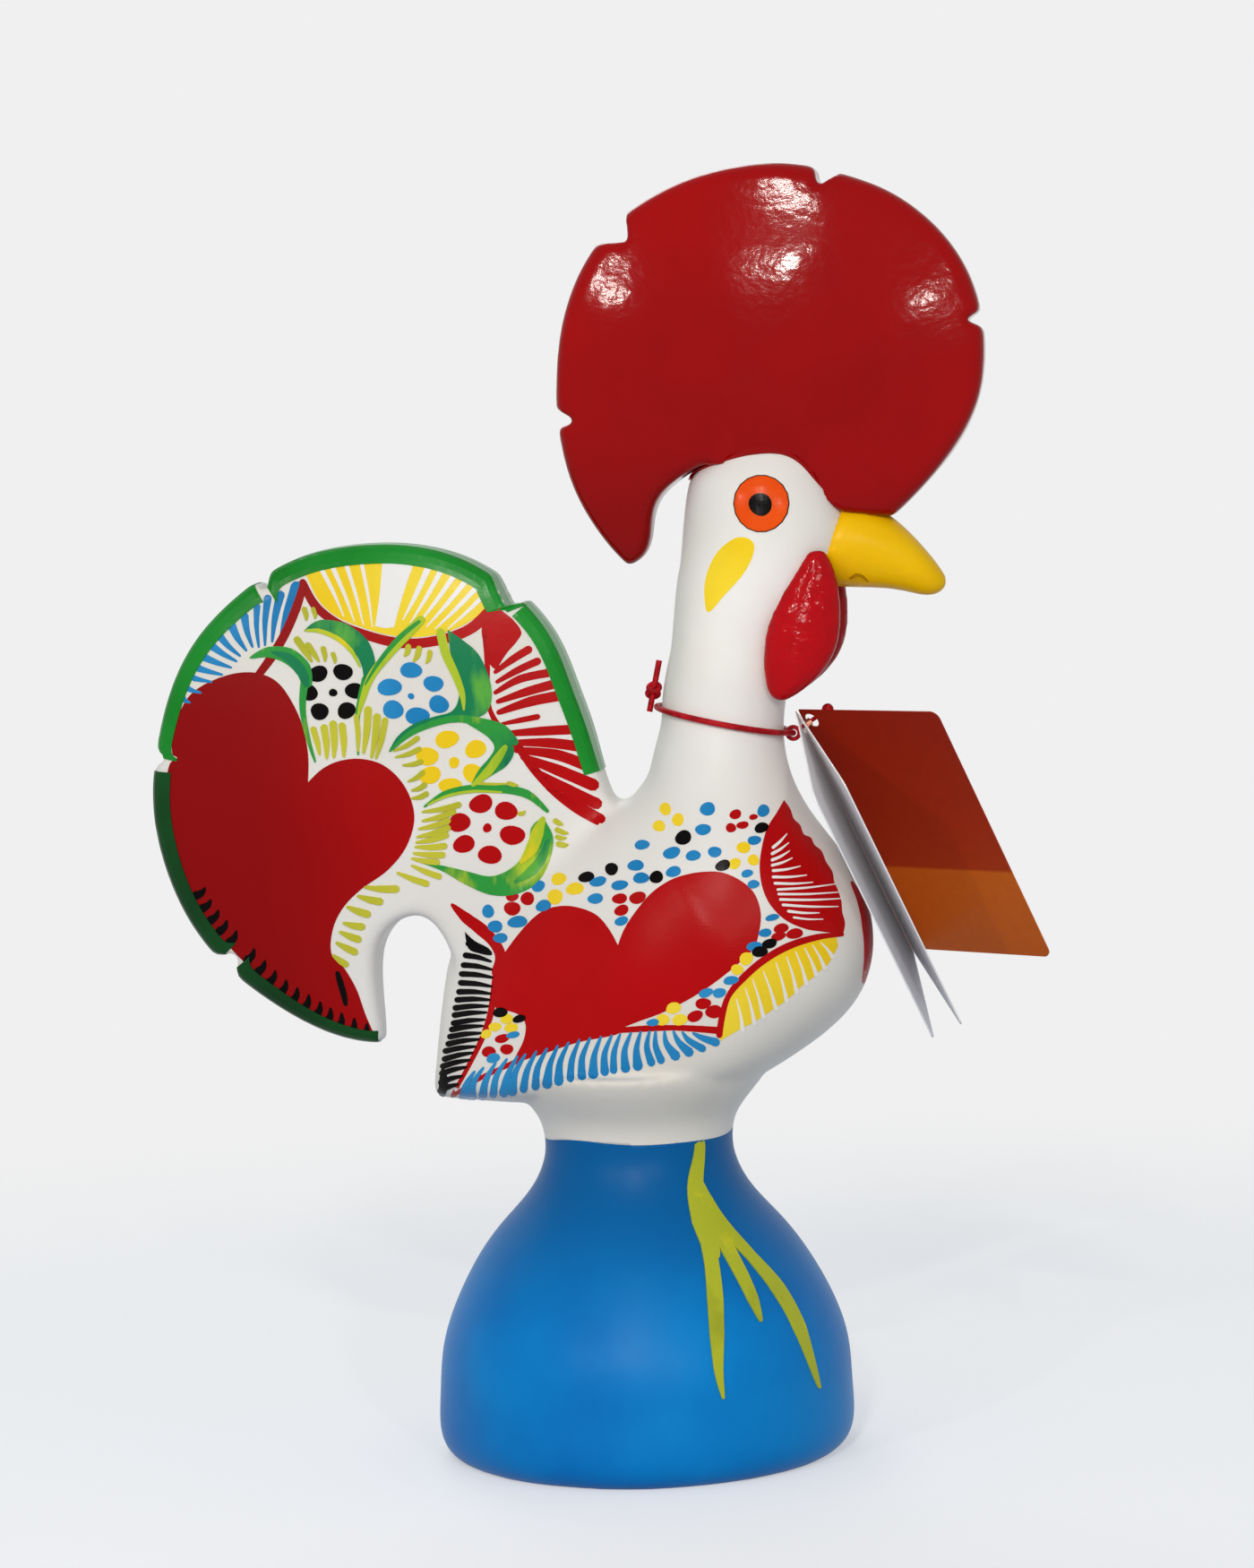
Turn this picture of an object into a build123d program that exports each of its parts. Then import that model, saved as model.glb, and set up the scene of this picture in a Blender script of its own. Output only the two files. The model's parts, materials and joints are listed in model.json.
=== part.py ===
"""A painted clay rooster of Barcelos on a bell foot, with a hang tag on a neck cord.

Millimetres. The origin is the centre of the foot's rest plane, +Z is up, and the
bird faces +X. Its right side is -Y.

The foot is thrown on a wheel. The bird, its comb and its tail are pressed in two
halves that meet on the plane y = 0. Beak and wattles are made by hand and luted on.
"""
import os
from math import atan2, cos, degrees, pi, radians, sin

from build123d import *

# Foot: a hollow bell
foot_height = 75.5
foot_radius = 48.8
foot_rest_radius = 44.5
foot_wall = 6.0
waist_radius = 22.1

# Trunk, from rump to breast
trunk_length = 104.2
trunk_rise = 78.5
trunk_width = 66.0
rump_behind_waist = 47.6
shell_wall = 7.0
neck_wall = 6.0

# Neck and head, which stand on the trunk's back
neck_diameter = 29.2
neck_length = 42.0
neck_lean = 12.5
head_length = 40.0
head_height = 36.0
head_width = 33.4

# Comb and tail: lens-shaped fans with notched rims
comb_length = 99.3
comb_height = 91.6
comb_thickness = 25.0
comb_edge_thickness = 12.0
comb_wall = 5.5
tail_length = 110.1
tail_height = 117.2
tail_thickness = 24.0
tail_edge_thickness = 12.5
tail_wall = 5.5
fan_edge_radius = 3.2

# Beak and wattles
beak_length = 31.5
beak_height = 20.8
beak_width = 19.0
wattle_height = 34.5
wattle_length = 18.0
wattle_thickness = 8.0
wattle_spacing = 23.0

# Neck cord, its knot and the tie that carries the tag
cord_diameter = 1.4
cord_gap = 0.4
cord_nose_radius = 2.6
cord_nose_reach = 16.8
knot_loop_radius = 1.2
knot_loop_tilt = 40.0
knot_loop_spread = 0.7
knot_behind_cord = 1.55
knot_above_cord = 3.4
knot_top_end = 7.2
knot_low_end = 5.0
tie_ring_radius = 1.4
tie_wire = 1.0
tie_first_gap = 1.1
tie_tail = 4.6
tie_knot_diameter = 2.8
crimp_diameter = 1.9
crimp_length = 1.4
crimp_before_leaf = 0.5

# Tag: three card leaves that meet at one spine
tag_width = 42.5
tag_height = 72.0
card_thickness = 0.35
tag_corner_radius = 2.2
tag_hole_diameter = 3.8
hole_from_spine = 3.6
hole_from_top = 3.0
cover_crease_gap = 1.0
inner_crease_gap = 2.6
spine_beyond_breast = 14.8
spine_heading = 53.0
back_leaf_turn = 48.0
inner_leaf_turn = 38.0
front_leaf_turn = -0.7

# Cuts that leave the clay run past it by this much
overrun = 4.0

# Sections of the bird from rump to crown. Each row holds the back point and the
# belly point, as shares of the trunk's length and rise, the half-width as a share
# of half the trunk's width, and how low the flank's widest line lies.
trunk_section_shares = [
    (0.029, 0.465, 0.000, 0.146, 0.09, 1.0),
    (0.048, 0.560, 0.014, 0.112, 0.25, 1.0),
    (0.110, 0.660, 0.102, 0.100, 0.45, 1.0),
    (0.226, 0.800, 0.246, 0.092, 0.70, 0.9),
    (0.351, 0.920, 0.418, 0.078, 0.88, 0.7),
    (0.418, 0.978, 0.591, 0.086, 0.98, 0.5),
    (0.452, 0.998, 0.764, 0.180, 1.00, 0.35),
    (0.474, 1.013, 0.917, 0.322, 0.95, 0.2),
    (0.491, 1.043, 0.999, 0.530, 0.84, 0.1),
    (0.511, 1.096, 0.978, 0.722, 0.70, 0.0),
    (0.526, 1.172, 0.893, 0.900, 0.56, 0.0),
    (0.536, 1.218, 0.833, 1.038, 0.49, 0.0),
]
# The breast's foremost point, as shares of the trunk's length and rise
breast_shares = (0.999, 0.530)
# The hollow runs through these of the sections
hollow_first_section = 3
hollow_end_section = 10
# Half-outline of a section: place from back to belly, width of a low-slung flank,
# and width of a round neck
place_shares = [0.0, 0.07, 0.25, 0.50, 0.75, 0.93, 1.0]
flank_width_shares = [0.0, 0.36, 0.64, 0.87, 1.0, 0.90, 0.0]
round_width_shares = [0.0, 0.51, 0.866, 1.0, 0.866, 0.51, 0.0]
run_shares = [0.0, 0.17, 0.333, 0.5, 0.667, 0.83, 1.0]

# Neck sections: place along the neck, forward shift, length and width, as shares
neck_section_shares = [
    (0.00, 0.000, 1.00, 1.00),
    (0.20, -0.026, 0.99, 1.00),
    (0.48, -0.062, 0.95, 0.98),
    (0.74, -0.007, 1.12, 1.03),
]
# Head sections: height, back and front as shares of the head's height and length,
# and width as a share of its width
head_section_shares = [
    (0.10, 0.018, 0.95, 0.93),
    (0.39, 0.050, 1.00, 1.00),
    (0.66, 0.100, 0.93, 0.90),
    (0.88, 0.250, 0.78, 0.60),
    (1.00, 0.410, 0.62, 0.20),
]
# Rise and size of the flared seat under the trunk, and of the throat inside it
flare_shares = [(0.0, 1.0), (0.045, 1.05), (0.095, 1.17), (0.15, 1.33), (0.21, 1.45)]
throat_rise_share = 0.3
# How far the bore in the neck runs, down into the trunk and up towards the crown
bore_start_share = 0.41
bore_end_share = 0.95

# Comb outline, as shares of its length and height, from the beak round to the
# hanging lobe behind the head, then back under the rim
comb_rim_shares = [
    (0.775, 0.110), (0.904, 0.250), (0.981, 0.400), (0.997, 0.530), (0.968, 0.700),
    (0.846, 0.875), (0.680, 0.968), (0.510, 0.999), (0.294, 0.955), (0.131, 0.845),
    (0.035, 0.680), (0.000, 0.480), (0.016, 0.258), (0.080, 0.097), (0.152, 0.003),
]
comb_lobe_shares = [(0.152, 0.003), (0.198, 0.045), (0.218, 0.150), (0.270, 0.213), (0.350, 0.255)]
comb_root_shares = [(0.350, 0.255), (0.450, 0.170), (0.680, 0.120), (0.775, 0.110)]
# Each notch: its inner point, then the two points where it leaves the rim
comb_notch_shares = [
    ((0.950, 0.593), (1.050, 0.550), (1.050, 0.650)),
    ((0.622, 0.934), (0.611, 1.040), (0.735, 1.010)),
    ((0.183, 0.816), (0.170, 0.960), (0.040, 0.812)),
    ((0.052, 0.370), (-0.080, 0.455), (-0.070, 0.328)),
]
comb_centre_shares = (0.495, 0.50)
comb_hollow_share = 0.36
comb_back_share = 0.362
comb_root_share = 0.10

# Tail outline, as shares of its length and height, from the back round the rim to
# the hanging tip, then up the arch over the rump
tail_rim_shares = [
    (1.000, 0.466), (0.969, 0.545), (0.949, 0.620), (0.914, 0.718), (0.875, 0.808),
    (0.806, 0.893), (0.711, 0.960), (0.585, 0.997), (0.450, 1.000), (0.322, 0.974),
    (0.205, 0.910), (0.120, 0.836), (0.055, 0.737), (0.013, 0.605), (0.000, 0.485),
    (0.022, 0.357), (0.085, 0.228), (0.151, 0.156), (0.228, 0.097), (0.353, 0.026),
    (0.481, 0.000),
]
tail_arch_shares = [
    (0.481, 0.000), (0.474, 0.112), (0.503, 0.232), (0.577, 0.258), (0.624, 0.210), (0.645, 0.120),
]
tail_root_shares = [(0.645, 0.120), (0.760, 0.230), (1.000, 0.400), (1.000, 0.466)]
tail_notch_shares = [
    ((0.787, 0.863), (0.835, 0.905), (0.735, 0.975)),
    ((0.271, 0.911), (0.281, 0.990), (0.205, 0.960)),
    ((0.044, 0.590), (-0.040, 0.625), (-0.045, 0.540)),
    ((0.173, 0.189), (0.070, 0.180), (0.170, 0.100)),
]
tail_centre_shares = (0.53, 0.56)
tail_hollow_share = 0.25
tail_back_share = 0.59
tail_tip_share = 0.282

# Beak rings: place along it, middle height, half-height and half-width shares
beak_ring_shares = [
    (0.00, 0.000, 0.50, 0.50),
    (0.27, -0.005, 0.48, 0.48),
    (0.53, -0.077, 0.433, 0.40),
    (0.74, -0.235, 0.332, 0.31),
    (0.88, -0.375, 0.228, 0.225),
    (0.96, -0.440, 0.127, 0.13),
    (1.00, -0.457, 0.043, 0.045),
]
# Wattle rings from the top down: height, middle, half-length and half-thickness
wattle_ring_shares = [
    (1.00, 0.69, 0.10, 0.22),
    (0.85, 0.66, 0.27, 0.38),
    (0.60, 0.56, 0.43, 0.49),
    (0.35, 0.47, 0.46, 0.50),
    (0.15, 0.34, 0.33, 0.42),
    (0.03, 0.22, 0.14, 0.24),
    (0.00, 0.20, 0.05, 0.10),
]

# Foot profile: how far the radius has grown from waist to belly, and the height
foot_profile_shares = [
    (0.963, 0.040), (1.000, 0.180), (0.966, 0.330), (0.745, 0.540), (0.420, 0.710),
    (0.120, 0.837), (0.008, 0.934), (0.000, 1.000),
]
# Where the neck, the head, the beak and the wattles stand on what carries them
neck_on_trunk_share = 0.676
neck_foot_share = 0.43
head_on_neck_share = 0.78
head_back_share = 0.239
beak_on_head_shares = (0.77, 0.21)
wattle_on_head_shares = (0.518, -0.783)

# Places that follow from the sizes
rump_x = -rump_behind_waist
saddle_z = foot_height + trunk_rise
neck_foot = Vector(
    rump_x + trunk_length * neck_on_trunk_share, 0, saddle_z + neck_length * neck_foot_share,
)
neck_axis = Vector(sin(radians(neck_lean)), 0, cos(radians(neck_lean)))
neck_front = Vector(cos(radians(neck_lean)), 0, -sin(radians(neck_lean)))
head_back_x = neck_foot.X - head_length * head_back_share
head_base_z = neck_foot.Z + neck_length * head_on_neck_share
comb_origin = Vector(
    neck_foot.X - comb_length * comb_back_share, 0, head_base_z + head_height * comb_root_share,
)
tail_origin = Vector(
    rump_x - tail_length * tail_back_share, 0, foot_height + trunk_rise * tail_tip_share,
)
breast = Vector(
    rump_x + trunk_length * breast_shares[0], 0, foot_height + trunk_rise * breast_shares[1],
)


def mix(first, second, share):
    return first * (1 - share) + second * share


def half_skin(sections):
    """The right half of a smooth skin through sections, each a run of points from
    back to belly. It runs past y = 0 by the overrun, so that it can be cut flat there."""
    wires = []
    for side in sections:
        past_back = side[0] + Vector(0, overrun, 0)
        past_belly = side[-1] + Vector(0, overrun, 0)
        outward = Vector(0, -sum((b - a).length for a, b in zip(side, side[1:])), 0)
        wires.append(Wire([
            Edge.make_line(past_back, side[0]),
            Edge.make_spline(side, tangents=[outward, -outward], parameters=run_shares, scale=False),
            Edge.make_line(side[-1], past_belly),
            Edge.make_line(past_belly, past_back),
        ]))
    return Solid.make_loft(wires, ruled=False)


def section_side(back, belly, half_width, low_share):
    """The right side of one section, from its back point to its belly point."""
    side = []
    for place, flank, round_ in zip(place_shares, flank_width_shares, round_width_shares):
        middle = back + (belly - back) * place
        side.append(middle - Vector(0, half_width * mix(round_, flank, low_share), 0))
    return side


def trunk_sections(inset):
    sections = []
    for back_x, back_z, belly_x, belly_z, width, low in trunk_section_shares:
        back = Vector(rump_x + trunk_length * back_x, 0, foot_height + trunk_rise * back_z)
        belly = Vector(rump_x + trunk_length * belly_x, 0, foot_height + trunk_rise * belly_z)
        inward = (belly - back).normalized() * inset
        sections.append(section_side(back + inward, belly - inward, trunk_width / 2 * width - inset, low))
    return sections


def neck_sections(inset):
    sections = []
    for place, shift, length, width in neck_section_shares:
        middle = neck_foot + neck_axis * (neck_length * place) + Vector(neck_diameter * shift, 0, 0)
        reach = neck_front * (neck_diameter / 2 * length - inset)
        sections.append(section_side(middle - reach, middle + reach, neck_diameter / 2 * width - inset, 0))
    return sections


def head_sections(inset):
    sections = []
    for height, back, front, width in head_section_shares:
        z = head_base_z + head_height * height
        back_point = Vector(head_back_x + head_length * back + inset, 0, z)
        front_point = Vector(head_back_x + head_length * front - inset, 0, z)
        sections.append(section_side(back_point, front_point, head_width / 2 * width - inset, 0))
    return sections


def rod(start, end, diameter):
    way = end - start
    plane = Plane(origin=start, z_dir=way)
    return plane * Cylinder(diameter / 2, way.length, align=(Align.CENTER, Align.CENTER, Align.MIN))


def ring_points(centre, long_axis, wide_axis):
    """Points of an ellipse, for a smooth closed section."""
    steps = 12
    return [
        centre + long_axis * cos(2 * pi * step / steps) + wide_axis * sin(2 * pi * step / steps)
        for step in range(steps)
    ]


def smooth_rings(rings):
    """A smooth solid through closed sections, each given as its points."""
    return Solid.make_loft([Wire([Edge.make_spline(ring, periodic=True)]) for ring in rings], ruled=False)


def right_space():
    """Everything on the right of the mould plane."""
    reach = trunk_length + tail_length + comb_length
    middle_z = foot_height + trunk_rise
    return Pos(0, -reach / 2, middle_z) * Box(2 * reach, reach, 2 * reach)


def make_bird():
    """The right half of rump, trunk, neck and head, solid, with a flared seat."""
    skin = half_skin(trunk_sections(0) + neck_sections(0) + head_sections(0))
    flare = smooth_rings([
        ring_points(
            Vector(0, 0, foot_height + trunk_rise * rise),
            Vector(waist_radius * size, 0, 0),
            Vector(0, waist_radius * size, 0),
        )
        for rise, size in flare_shares
    ])
    return Part() + skin + flare & right_space()


def make_bird_hollow():
    """The space inside the right half: trunk, a bore up the neck, and the open throat."""
    trunk_space = half_skin(trunk_sections(shell_wall)[hollow_first_section:hollow_end_section])
    neck_bore = rod(
        neck_foot - neck_axis * (trunk_rise * bore_start_share),
        neck_foot + neck_axis * (neck_length * bore_end_share),
        neck_diameter - 2 * neck_wall,
    )
    throat = Pos(0, 0, foot_height - overrun) * Cylinder(
        waist_radius - foot_wall, trunk_rise * throat_rise_share + overrun,
        align=(Align.CENTER, Align.CENTER, Align.MIN),
    )
    return Part() + trunk_space + neck_bore + throat


def outline_face(runs, origin, length, height):
    """A face on the plane y = 0. Each run of outline shares is curved or straight."""
    edges = []
    for run, straight in runs:
        points = [Vector(origin.X + length * u, 0, origin.Z + height * v) for u, v in run]
        if straight:
            edges += [Edge.make_line(a, b) for a, b in zip(points, points[1:])]
        else:
            edges.append(Edge.make_spline(points))
    return Face(Wire(edges))


def make_fan(
    runs, notches, origin, length, height, thickness, edge_thickness, wall, centre, hollow_share,
):
    """The right half of a hollow lens-shaped slab with a rounded, notched rim."""
    face = outline_face(runs, origin, length, height)
    slab = Solid.extrude(face, Vector(0, -thickness, 0))
    centre_x = origin.X + length * centre[0]
    centre_z = origin.Z + height * centre[1]
    rise = (thickness - edge_thickness) / 2
    half_span = max(length, height) / 2
    dome_radius = (half_span**2 + rise**2) / (2 * rise)
    dome_centre = Pos(centre_x, dome_radius - thickness / 2, centre_z)
    half = Part() + slab & dome_centre * Sphere(dome_radius)
    half = fillet(half.faces().sort_by(Axis.Y)[0].edges(), fan_edge_radius)
    for notch in notches:
        corners = [Vector(origin.X + length * u, 0, origin.Z + height * v) for u, v in notch]
        half -= Solid.extrude(Face(Wire.make_polygon(corners, close=True)), Vector(0, -thickness, 0))
    core = Pos(centre_x, 0, centre_z) * Rot(X=90) * Cylinder(height * hollow_share, thickness)
    return half - (core & dome_centre * Sphere(dome_radius - wall))


def make_comb(bird):
    runs = [(comb_rim_shares, False), (comb_lobe_shares, False), (comb_root_shares, True)]
    comb = make_fan(
        runs, comb_notch_shares, comb_origin, comb_length, comb_height,
        comb_thickness, comb_edge_thickness, comb_wall, comb_centre_shares, comb_hollow_share,
    )
    return comb - bird


def make_tail(bird):
    runs = [(tail_rim_shares, False), (tail_arch_shares, False), (tail_root_shares, True)]
    tail = make_fan(
        runs, tail_notch_shares, tail_origin, tail_length, tail_height,
        tail_thickness, tail_edge_thickness, tail_wall, tail_centre_shares, tail_hollow_share,
    )
    return tail - bird


def make_beak_blank():
    base = Vector(
        head_back_x + head_length * beak_on_head_shares[0], 0,
        head_base_z + head_height * beak_on_head_shares[1],
    )
    return smooth_rings([
        ring_points(
            base + Vector(beak_length * place, 0, beak_height * lift),
            Vector(0, 0, beak_height * tall),
            Vector(0, beak_width * wide, 0),
        )
        for place, lift, tall, wide in beak_ring_shares
    ])


def make_wattle(bird, beak):
    """The right wattle, which hangs from the cheek beside the throat."""
    base = Vector(
        head_back_x + head_length * wattle_on_head_shares[0], -wattle_spacing / 2,
        head_base_z + head_height * wattle_on_head_shares[1],
    )
    blank = smooth_rings([
        ring_points(
            base + Vector(wattle_length * middle, 0, wattle_height * height),
            Vector(wattle_length * long, 0, 0),
            Vector(0, wattle_thickness * thick, 0),
        )
        for height, middle, long, thick in wattle_ring_shares
    ])
    return Part() + blank - bird - beak


def make_foot():
    """A thrown bell, open below and at the waist."""
    swell = foot_radius - waist_radius
    outside = [Vector(waist_radius + swell * out, 0, foot_height * up) for out, up in foot_profile_shares]
    inside = [point - Vector(foot_wall, 0, 0) for point in outside]
    rest_outer = Vector(foot_rest_radius, 0, 0)
    rest_inner = Vector(inside[0].X, 0, 0)
    profile = Wire([
        Edge.make_line(rest_inner, rest_outer),
        Edge.make_spline([rest_outer] + outside),
        Edge.make_line(outside[-1], inside[-1]),
        Edge.make_spline(inside[::-1] + [rest_inner]),
    ])
    return Solid.revolve(Face(profile), 360, Axis.Z)


def make_neck_cord():
    """A loop tight round the neck that runs to a nose in front, where the tag hangs."""
    radius = neck_diameter / 2 + cord_gap + cord_diameter / 2
    nose_x = cord_nose_reach - cord_nose_radius
    spread = (radius - cord_nose_radius) / nose_x
    rise = (1 - spread**2) ** 0.5
    loop_plane = Plane(origin=neck_foot, x_dir=neck_front, z_dir=neck_axis)

    def at(centre_x, size, side):
        return loop_plane.from_local_coords(Vector(centre_x + size * spread, side * size * rise, 0))

    back = loop_plane.from_local_coords(Vector(-radius, 0, 0))
    nose = loop_plane.from_local_coords(Vector(cord_nose_reach, 0, 0))
    loop = Wire([
        Edge.make_three_point_arc(at(0, radius, 1), back, at(0, radius, -1)),
        Edge.make_line(at(0, radius, -1), at(nose_x, cord_nose_radius, -1)),
        Edge.make_three_point_arc(at(nose_x, cord_nose_radius, -1), nose, at(nose_x, cord_nose_radius, 1)),
        Edge.make_line(at(nose_x, cord_nose_radius, 1), at(0, radius, 1)),
    ])
    section = Plane(origin=back, z_dir=Vector(0, 1, 0)) * Circle(cord_diameter / 2)
    return Solid.sweep(section.faces()[0], loop), back, nose


def make_knot(cord_back):
    """A knot that lies on the cord behind the neck, with its two cut ends."""
    middle = cord_back - neck_front * knot_behind_cord + neck_axis * knot_above_cord
    loop = Torus(knot_loop_radius, cord_diameter / 2)
    spread = neck_axis * knot_loop_spread
    ends = rod(middle - neck_axis * knot_low_end, middle + neck_axis * knot_top_end, cord_diameter)
    upper = Pos(middle + spread) * Rot(X=knot_loop_tilt) * loop
    lower = Pos(middle - spread) * Rot(X=-knot_loop_tilt, Z=knot_loop_tilt) * loop
    return ends + upper + lower


def leaf_way(turn):
    """The direction from the spine to the free edge of a leaf turned this far."""
    return spine_level * cos(radians(turn)) + spine_way.cross(spine_level) * sin(radians(turn))


def leaf_plane(turn):
    """The plane of a tag leaf: x runs away from the spine and -y down it."""
    return Plane(origin=spine_top, x_dir=leaf_way(turn), z_dir=spine_way.cross(leaf_way(turn)))


def hole_point(turn):
    return leaf_plane(turn).from_local_coords(Vector(hole_from_spine, -hole_from_top, 0))


def make_leaf(turn, crease_gap):
    width = tag_width - crease_gap
    sheet = Pos(crease_gap + width / 2, -tag_height / 2) * Rectangle(width, tag_height)
    free_corners = sheet.vertices().sort_by(Axis.X)[-2:]
    sheet = fillet(free_corners, tag_corner_radius)
    sheet -= Pos(hole_from_spine, -hole_from_top) * Circle(tag_hole_diameter / 2)
    return leaf_plane(turn) * extrude(sheet, card_thickness / 2, both=True)


def make_tie():
    """A small ring on the cord's nose, whose stem passes through the three leaves."""
    ring = Pos(cord_nose) * Rot(X=90) * Torus(tie_ring_radius, tie_wire / 2)
    far_end = hole_point(front_leaf_turn) - stem_way * tie_tail
    stem = rod(ring_joint, far_end, tie_wire)
    return ring + stem + Pos(far_end) * Sphere(tie_knot_diameter / 2)


def make_crimp(tie):
    start = hole_point(front_leaf_turn) + stem_way * crimp_before_leaf
    return rod(start, start + stem_way * crimp_length, crimp_diameter) - tie


def mirrored(right):
    return mirror(right, about=Plane.XZ)


def save(name, shape):
    export_step(shape, f"parts/{name}.step")


os.makedirs("parts", exist_ok=True)

bird = make_bird()
beak_blank = make_beak_blank()
body = bird - make_bird_hollow()
comb = make_comb(bird)
tail = make_tail(bird)
wattle = make_wattle(bird, beak_blank)
for name, right in (("body", body), ("tail", tail)):
    save(f"{name}_right_half", right)
    save(f"{name}_left_half", mirrored(right))
save("comb_right_half", comb - beak_blank)
save("comb_left_half", mirrored(comb) - beak_blank)
save("wattle_right", wattle)
save("wattle_left", mirrored(wattle))
save("beak", Part() + beak_blank - bird - mirrored(bird))
save("foot", make_foot())

neck_cord, cord_back, cord_nose = make_neck_cord()
breast_slope = degrees(atan2(breast.X - cord_nose.X, cord_nose.Z - breast.Z))
spine_slope = breast_slope + spine_beyond_breast
spine_way = Vector(
    sin(radians(spine_slope)) * cos(radians(spine_heading)),
    sin(radians(spine_slope)) * sin(radians(spine_heading)),
    -cos(radians(spine_slope)),
)
spine_level = spine_way.cross(Vector(0, 0, 1)).normalized()
stem_way = spine_way.cross(leaf_way((front_leaf_turn + back_leaf_turn) / 2))
ring_joint = cord_nose - Vector(stem_way.X, 0, stem_way.Z).normalized() * tie_ring_radius
back_hole = ring_joint - stem_way * tie_first_gap
spine_top = back_hole - leaf_way(back_leaf_turn) * hole_from_spine - spine_way * hole_from_top

save("neck_cord", neck_cord)
save("cord_knot", make_knot(cord_back))
tie = make_tie()
save("tag_tie", tie)
save("tie_crimp", make_crimp(tie))
save("tag_back_leaf", make_leaf(back_leaf_turn, cover_crease_gap))
save("tag_inner_leaf", make_leaf(inner_leaf_turn, inner_crease_gap))
save("tag_front_leaf", make_leaf(front_leaf_turn, cover_crease_gap))

print("cord nose, hinge of the tag:", cord_nose)
print("spine top and way, hinge of the leaves:", spine_top, spine_way)
print("leaf corners:", [leaf_plane(turn).from_local_coords(Vector(tag_width, -tag_height, 0))
                        for turn in (front_leaf_turn, inner_leaf_turn, back_leaf_turn)])
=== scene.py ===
import json
from math import atan2, cos, hypot, pi, radians, sin

import bmesh
import bpy
import numpy as np
from mathutils import Matrix, Vector, noise
from mathutils.bvhtree import BVHTree
from mathutils.geometry import delaunay_2d_cdt


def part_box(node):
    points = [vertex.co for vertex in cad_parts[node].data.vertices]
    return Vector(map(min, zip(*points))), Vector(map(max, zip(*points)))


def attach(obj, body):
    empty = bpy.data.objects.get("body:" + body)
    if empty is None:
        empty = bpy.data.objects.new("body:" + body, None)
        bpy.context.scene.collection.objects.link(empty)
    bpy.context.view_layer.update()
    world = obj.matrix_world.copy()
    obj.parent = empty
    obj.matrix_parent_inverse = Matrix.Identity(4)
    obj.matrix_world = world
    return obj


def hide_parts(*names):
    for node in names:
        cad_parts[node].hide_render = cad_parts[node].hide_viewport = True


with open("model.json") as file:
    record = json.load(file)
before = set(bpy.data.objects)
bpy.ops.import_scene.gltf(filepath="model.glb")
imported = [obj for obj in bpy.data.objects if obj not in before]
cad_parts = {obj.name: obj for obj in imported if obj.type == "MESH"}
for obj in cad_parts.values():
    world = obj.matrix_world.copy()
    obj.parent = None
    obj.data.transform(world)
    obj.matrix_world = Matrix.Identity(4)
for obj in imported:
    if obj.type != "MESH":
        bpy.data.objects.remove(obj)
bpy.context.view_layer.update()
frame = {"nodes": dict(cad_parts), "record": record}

# Millimetres are turned into metres, and photo pixels into rays, by these
MM = 0.001
PHOTO_WIDTH = 1400
PHOTO_HEIGHT = 1750
FOCAL_PX = 5000
CAMERA_AZIMUTH = 7.0
CAMERA_ELEVATION = 4.4
CAMERA_ROLL = -1.8
CAMERA_PLACE = Vector((127.4, -1039.2, 237.9)) * MM
SENSOR_WIDTH = 36.0
CLIP_START = 0.05
CLIP_END = 20

collection = bpy.context.scene.collection


def srgb(code):
    """A linear colour from a hexadecimal screen colour."""
    parts = [int(code[i:i + 2], 16) / 255 for i in (0, 2, 4)]
    return tuple(((c + 0.055) / 1.055) ** 2.4 if c > 0.04045 else c / 12.92 for c in parts) + (1.0,)


# Camera
azimuth = radians(CAMERA_AZIMUTH)
elevation = radians(CAMERA_ELEVATION)
roll = radians(CAMERA_ROLL)
forward = Vector((-sin(azimuth) * cos(elevation), cos(azimuth) * cos(elevation), -sin(elevation)))
level_right = Vector((cos(azimuth), sin(azimuth), 0))
level_up = level_right.cross(forward)
right = level_right * cos(roll) + level_up * sin(roll)
up = level_up * cos(roll) - level_right * sin(roll)

camera_data = bpy.data.cameras.new("camera")
camera_data.sensor_fit = "HORIZONTAL"
camera_data.sensor_width = SENSOR_WIDTH
camera_data.lens = SENSOR_WIDTH * FOCAL_PX / PHOTO_WIDTH
camera_data.clip_start = CLIP_START
camera_data.clip_end = CLIP_END
camera = bpy.data.objects.new("camera", camera_data)
collection.objects.link(camera)
turn = Matrix((right, up, -forward)).transposed().to_4x4()
camera.matrix_world = Matrix.Translation(CAMERA_PLACE) @ turn
bpy.context.scene.camera = camera


def pixel_way(x, y):
    """The direction from the camera through a photo pixel."""
    way = forward * FOCAL_PX + right * (x - PHOTO_WIDTH / 2) - up * (y - PHOTO_HEIGHT / 2)
    return way.normalized()


# Node graph helpers. The Mix node's colour sockets are found by number.
MIX_FIRST = 6
MIX_SECOND = 7
MIX_RESULT = 2
BRUSH_SCALE = 330
CLAY_SCALE = 55


def shader_of(material):
    """The material's main shader."""
    return next(n for n in material.node_tree.nodes if n.type == "BSDF_PRINCIPLED")


def add_node(tree, kind, *sources):
    """A shader node whose first inputs are fed by these outputs."""
    node = tree.nodes.new("ShaderNode" + kind)
    for socket, source in zip(node.inputs, sources):
        tree.links.new(source, socket)
    return node


def new_material(name):
    """A new material with its node tree and main shader."""
    material = bpy.data.materials.new(name)
    material.use_nodes = True
    return material, material.node_tree, shader_of(material)


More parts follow.
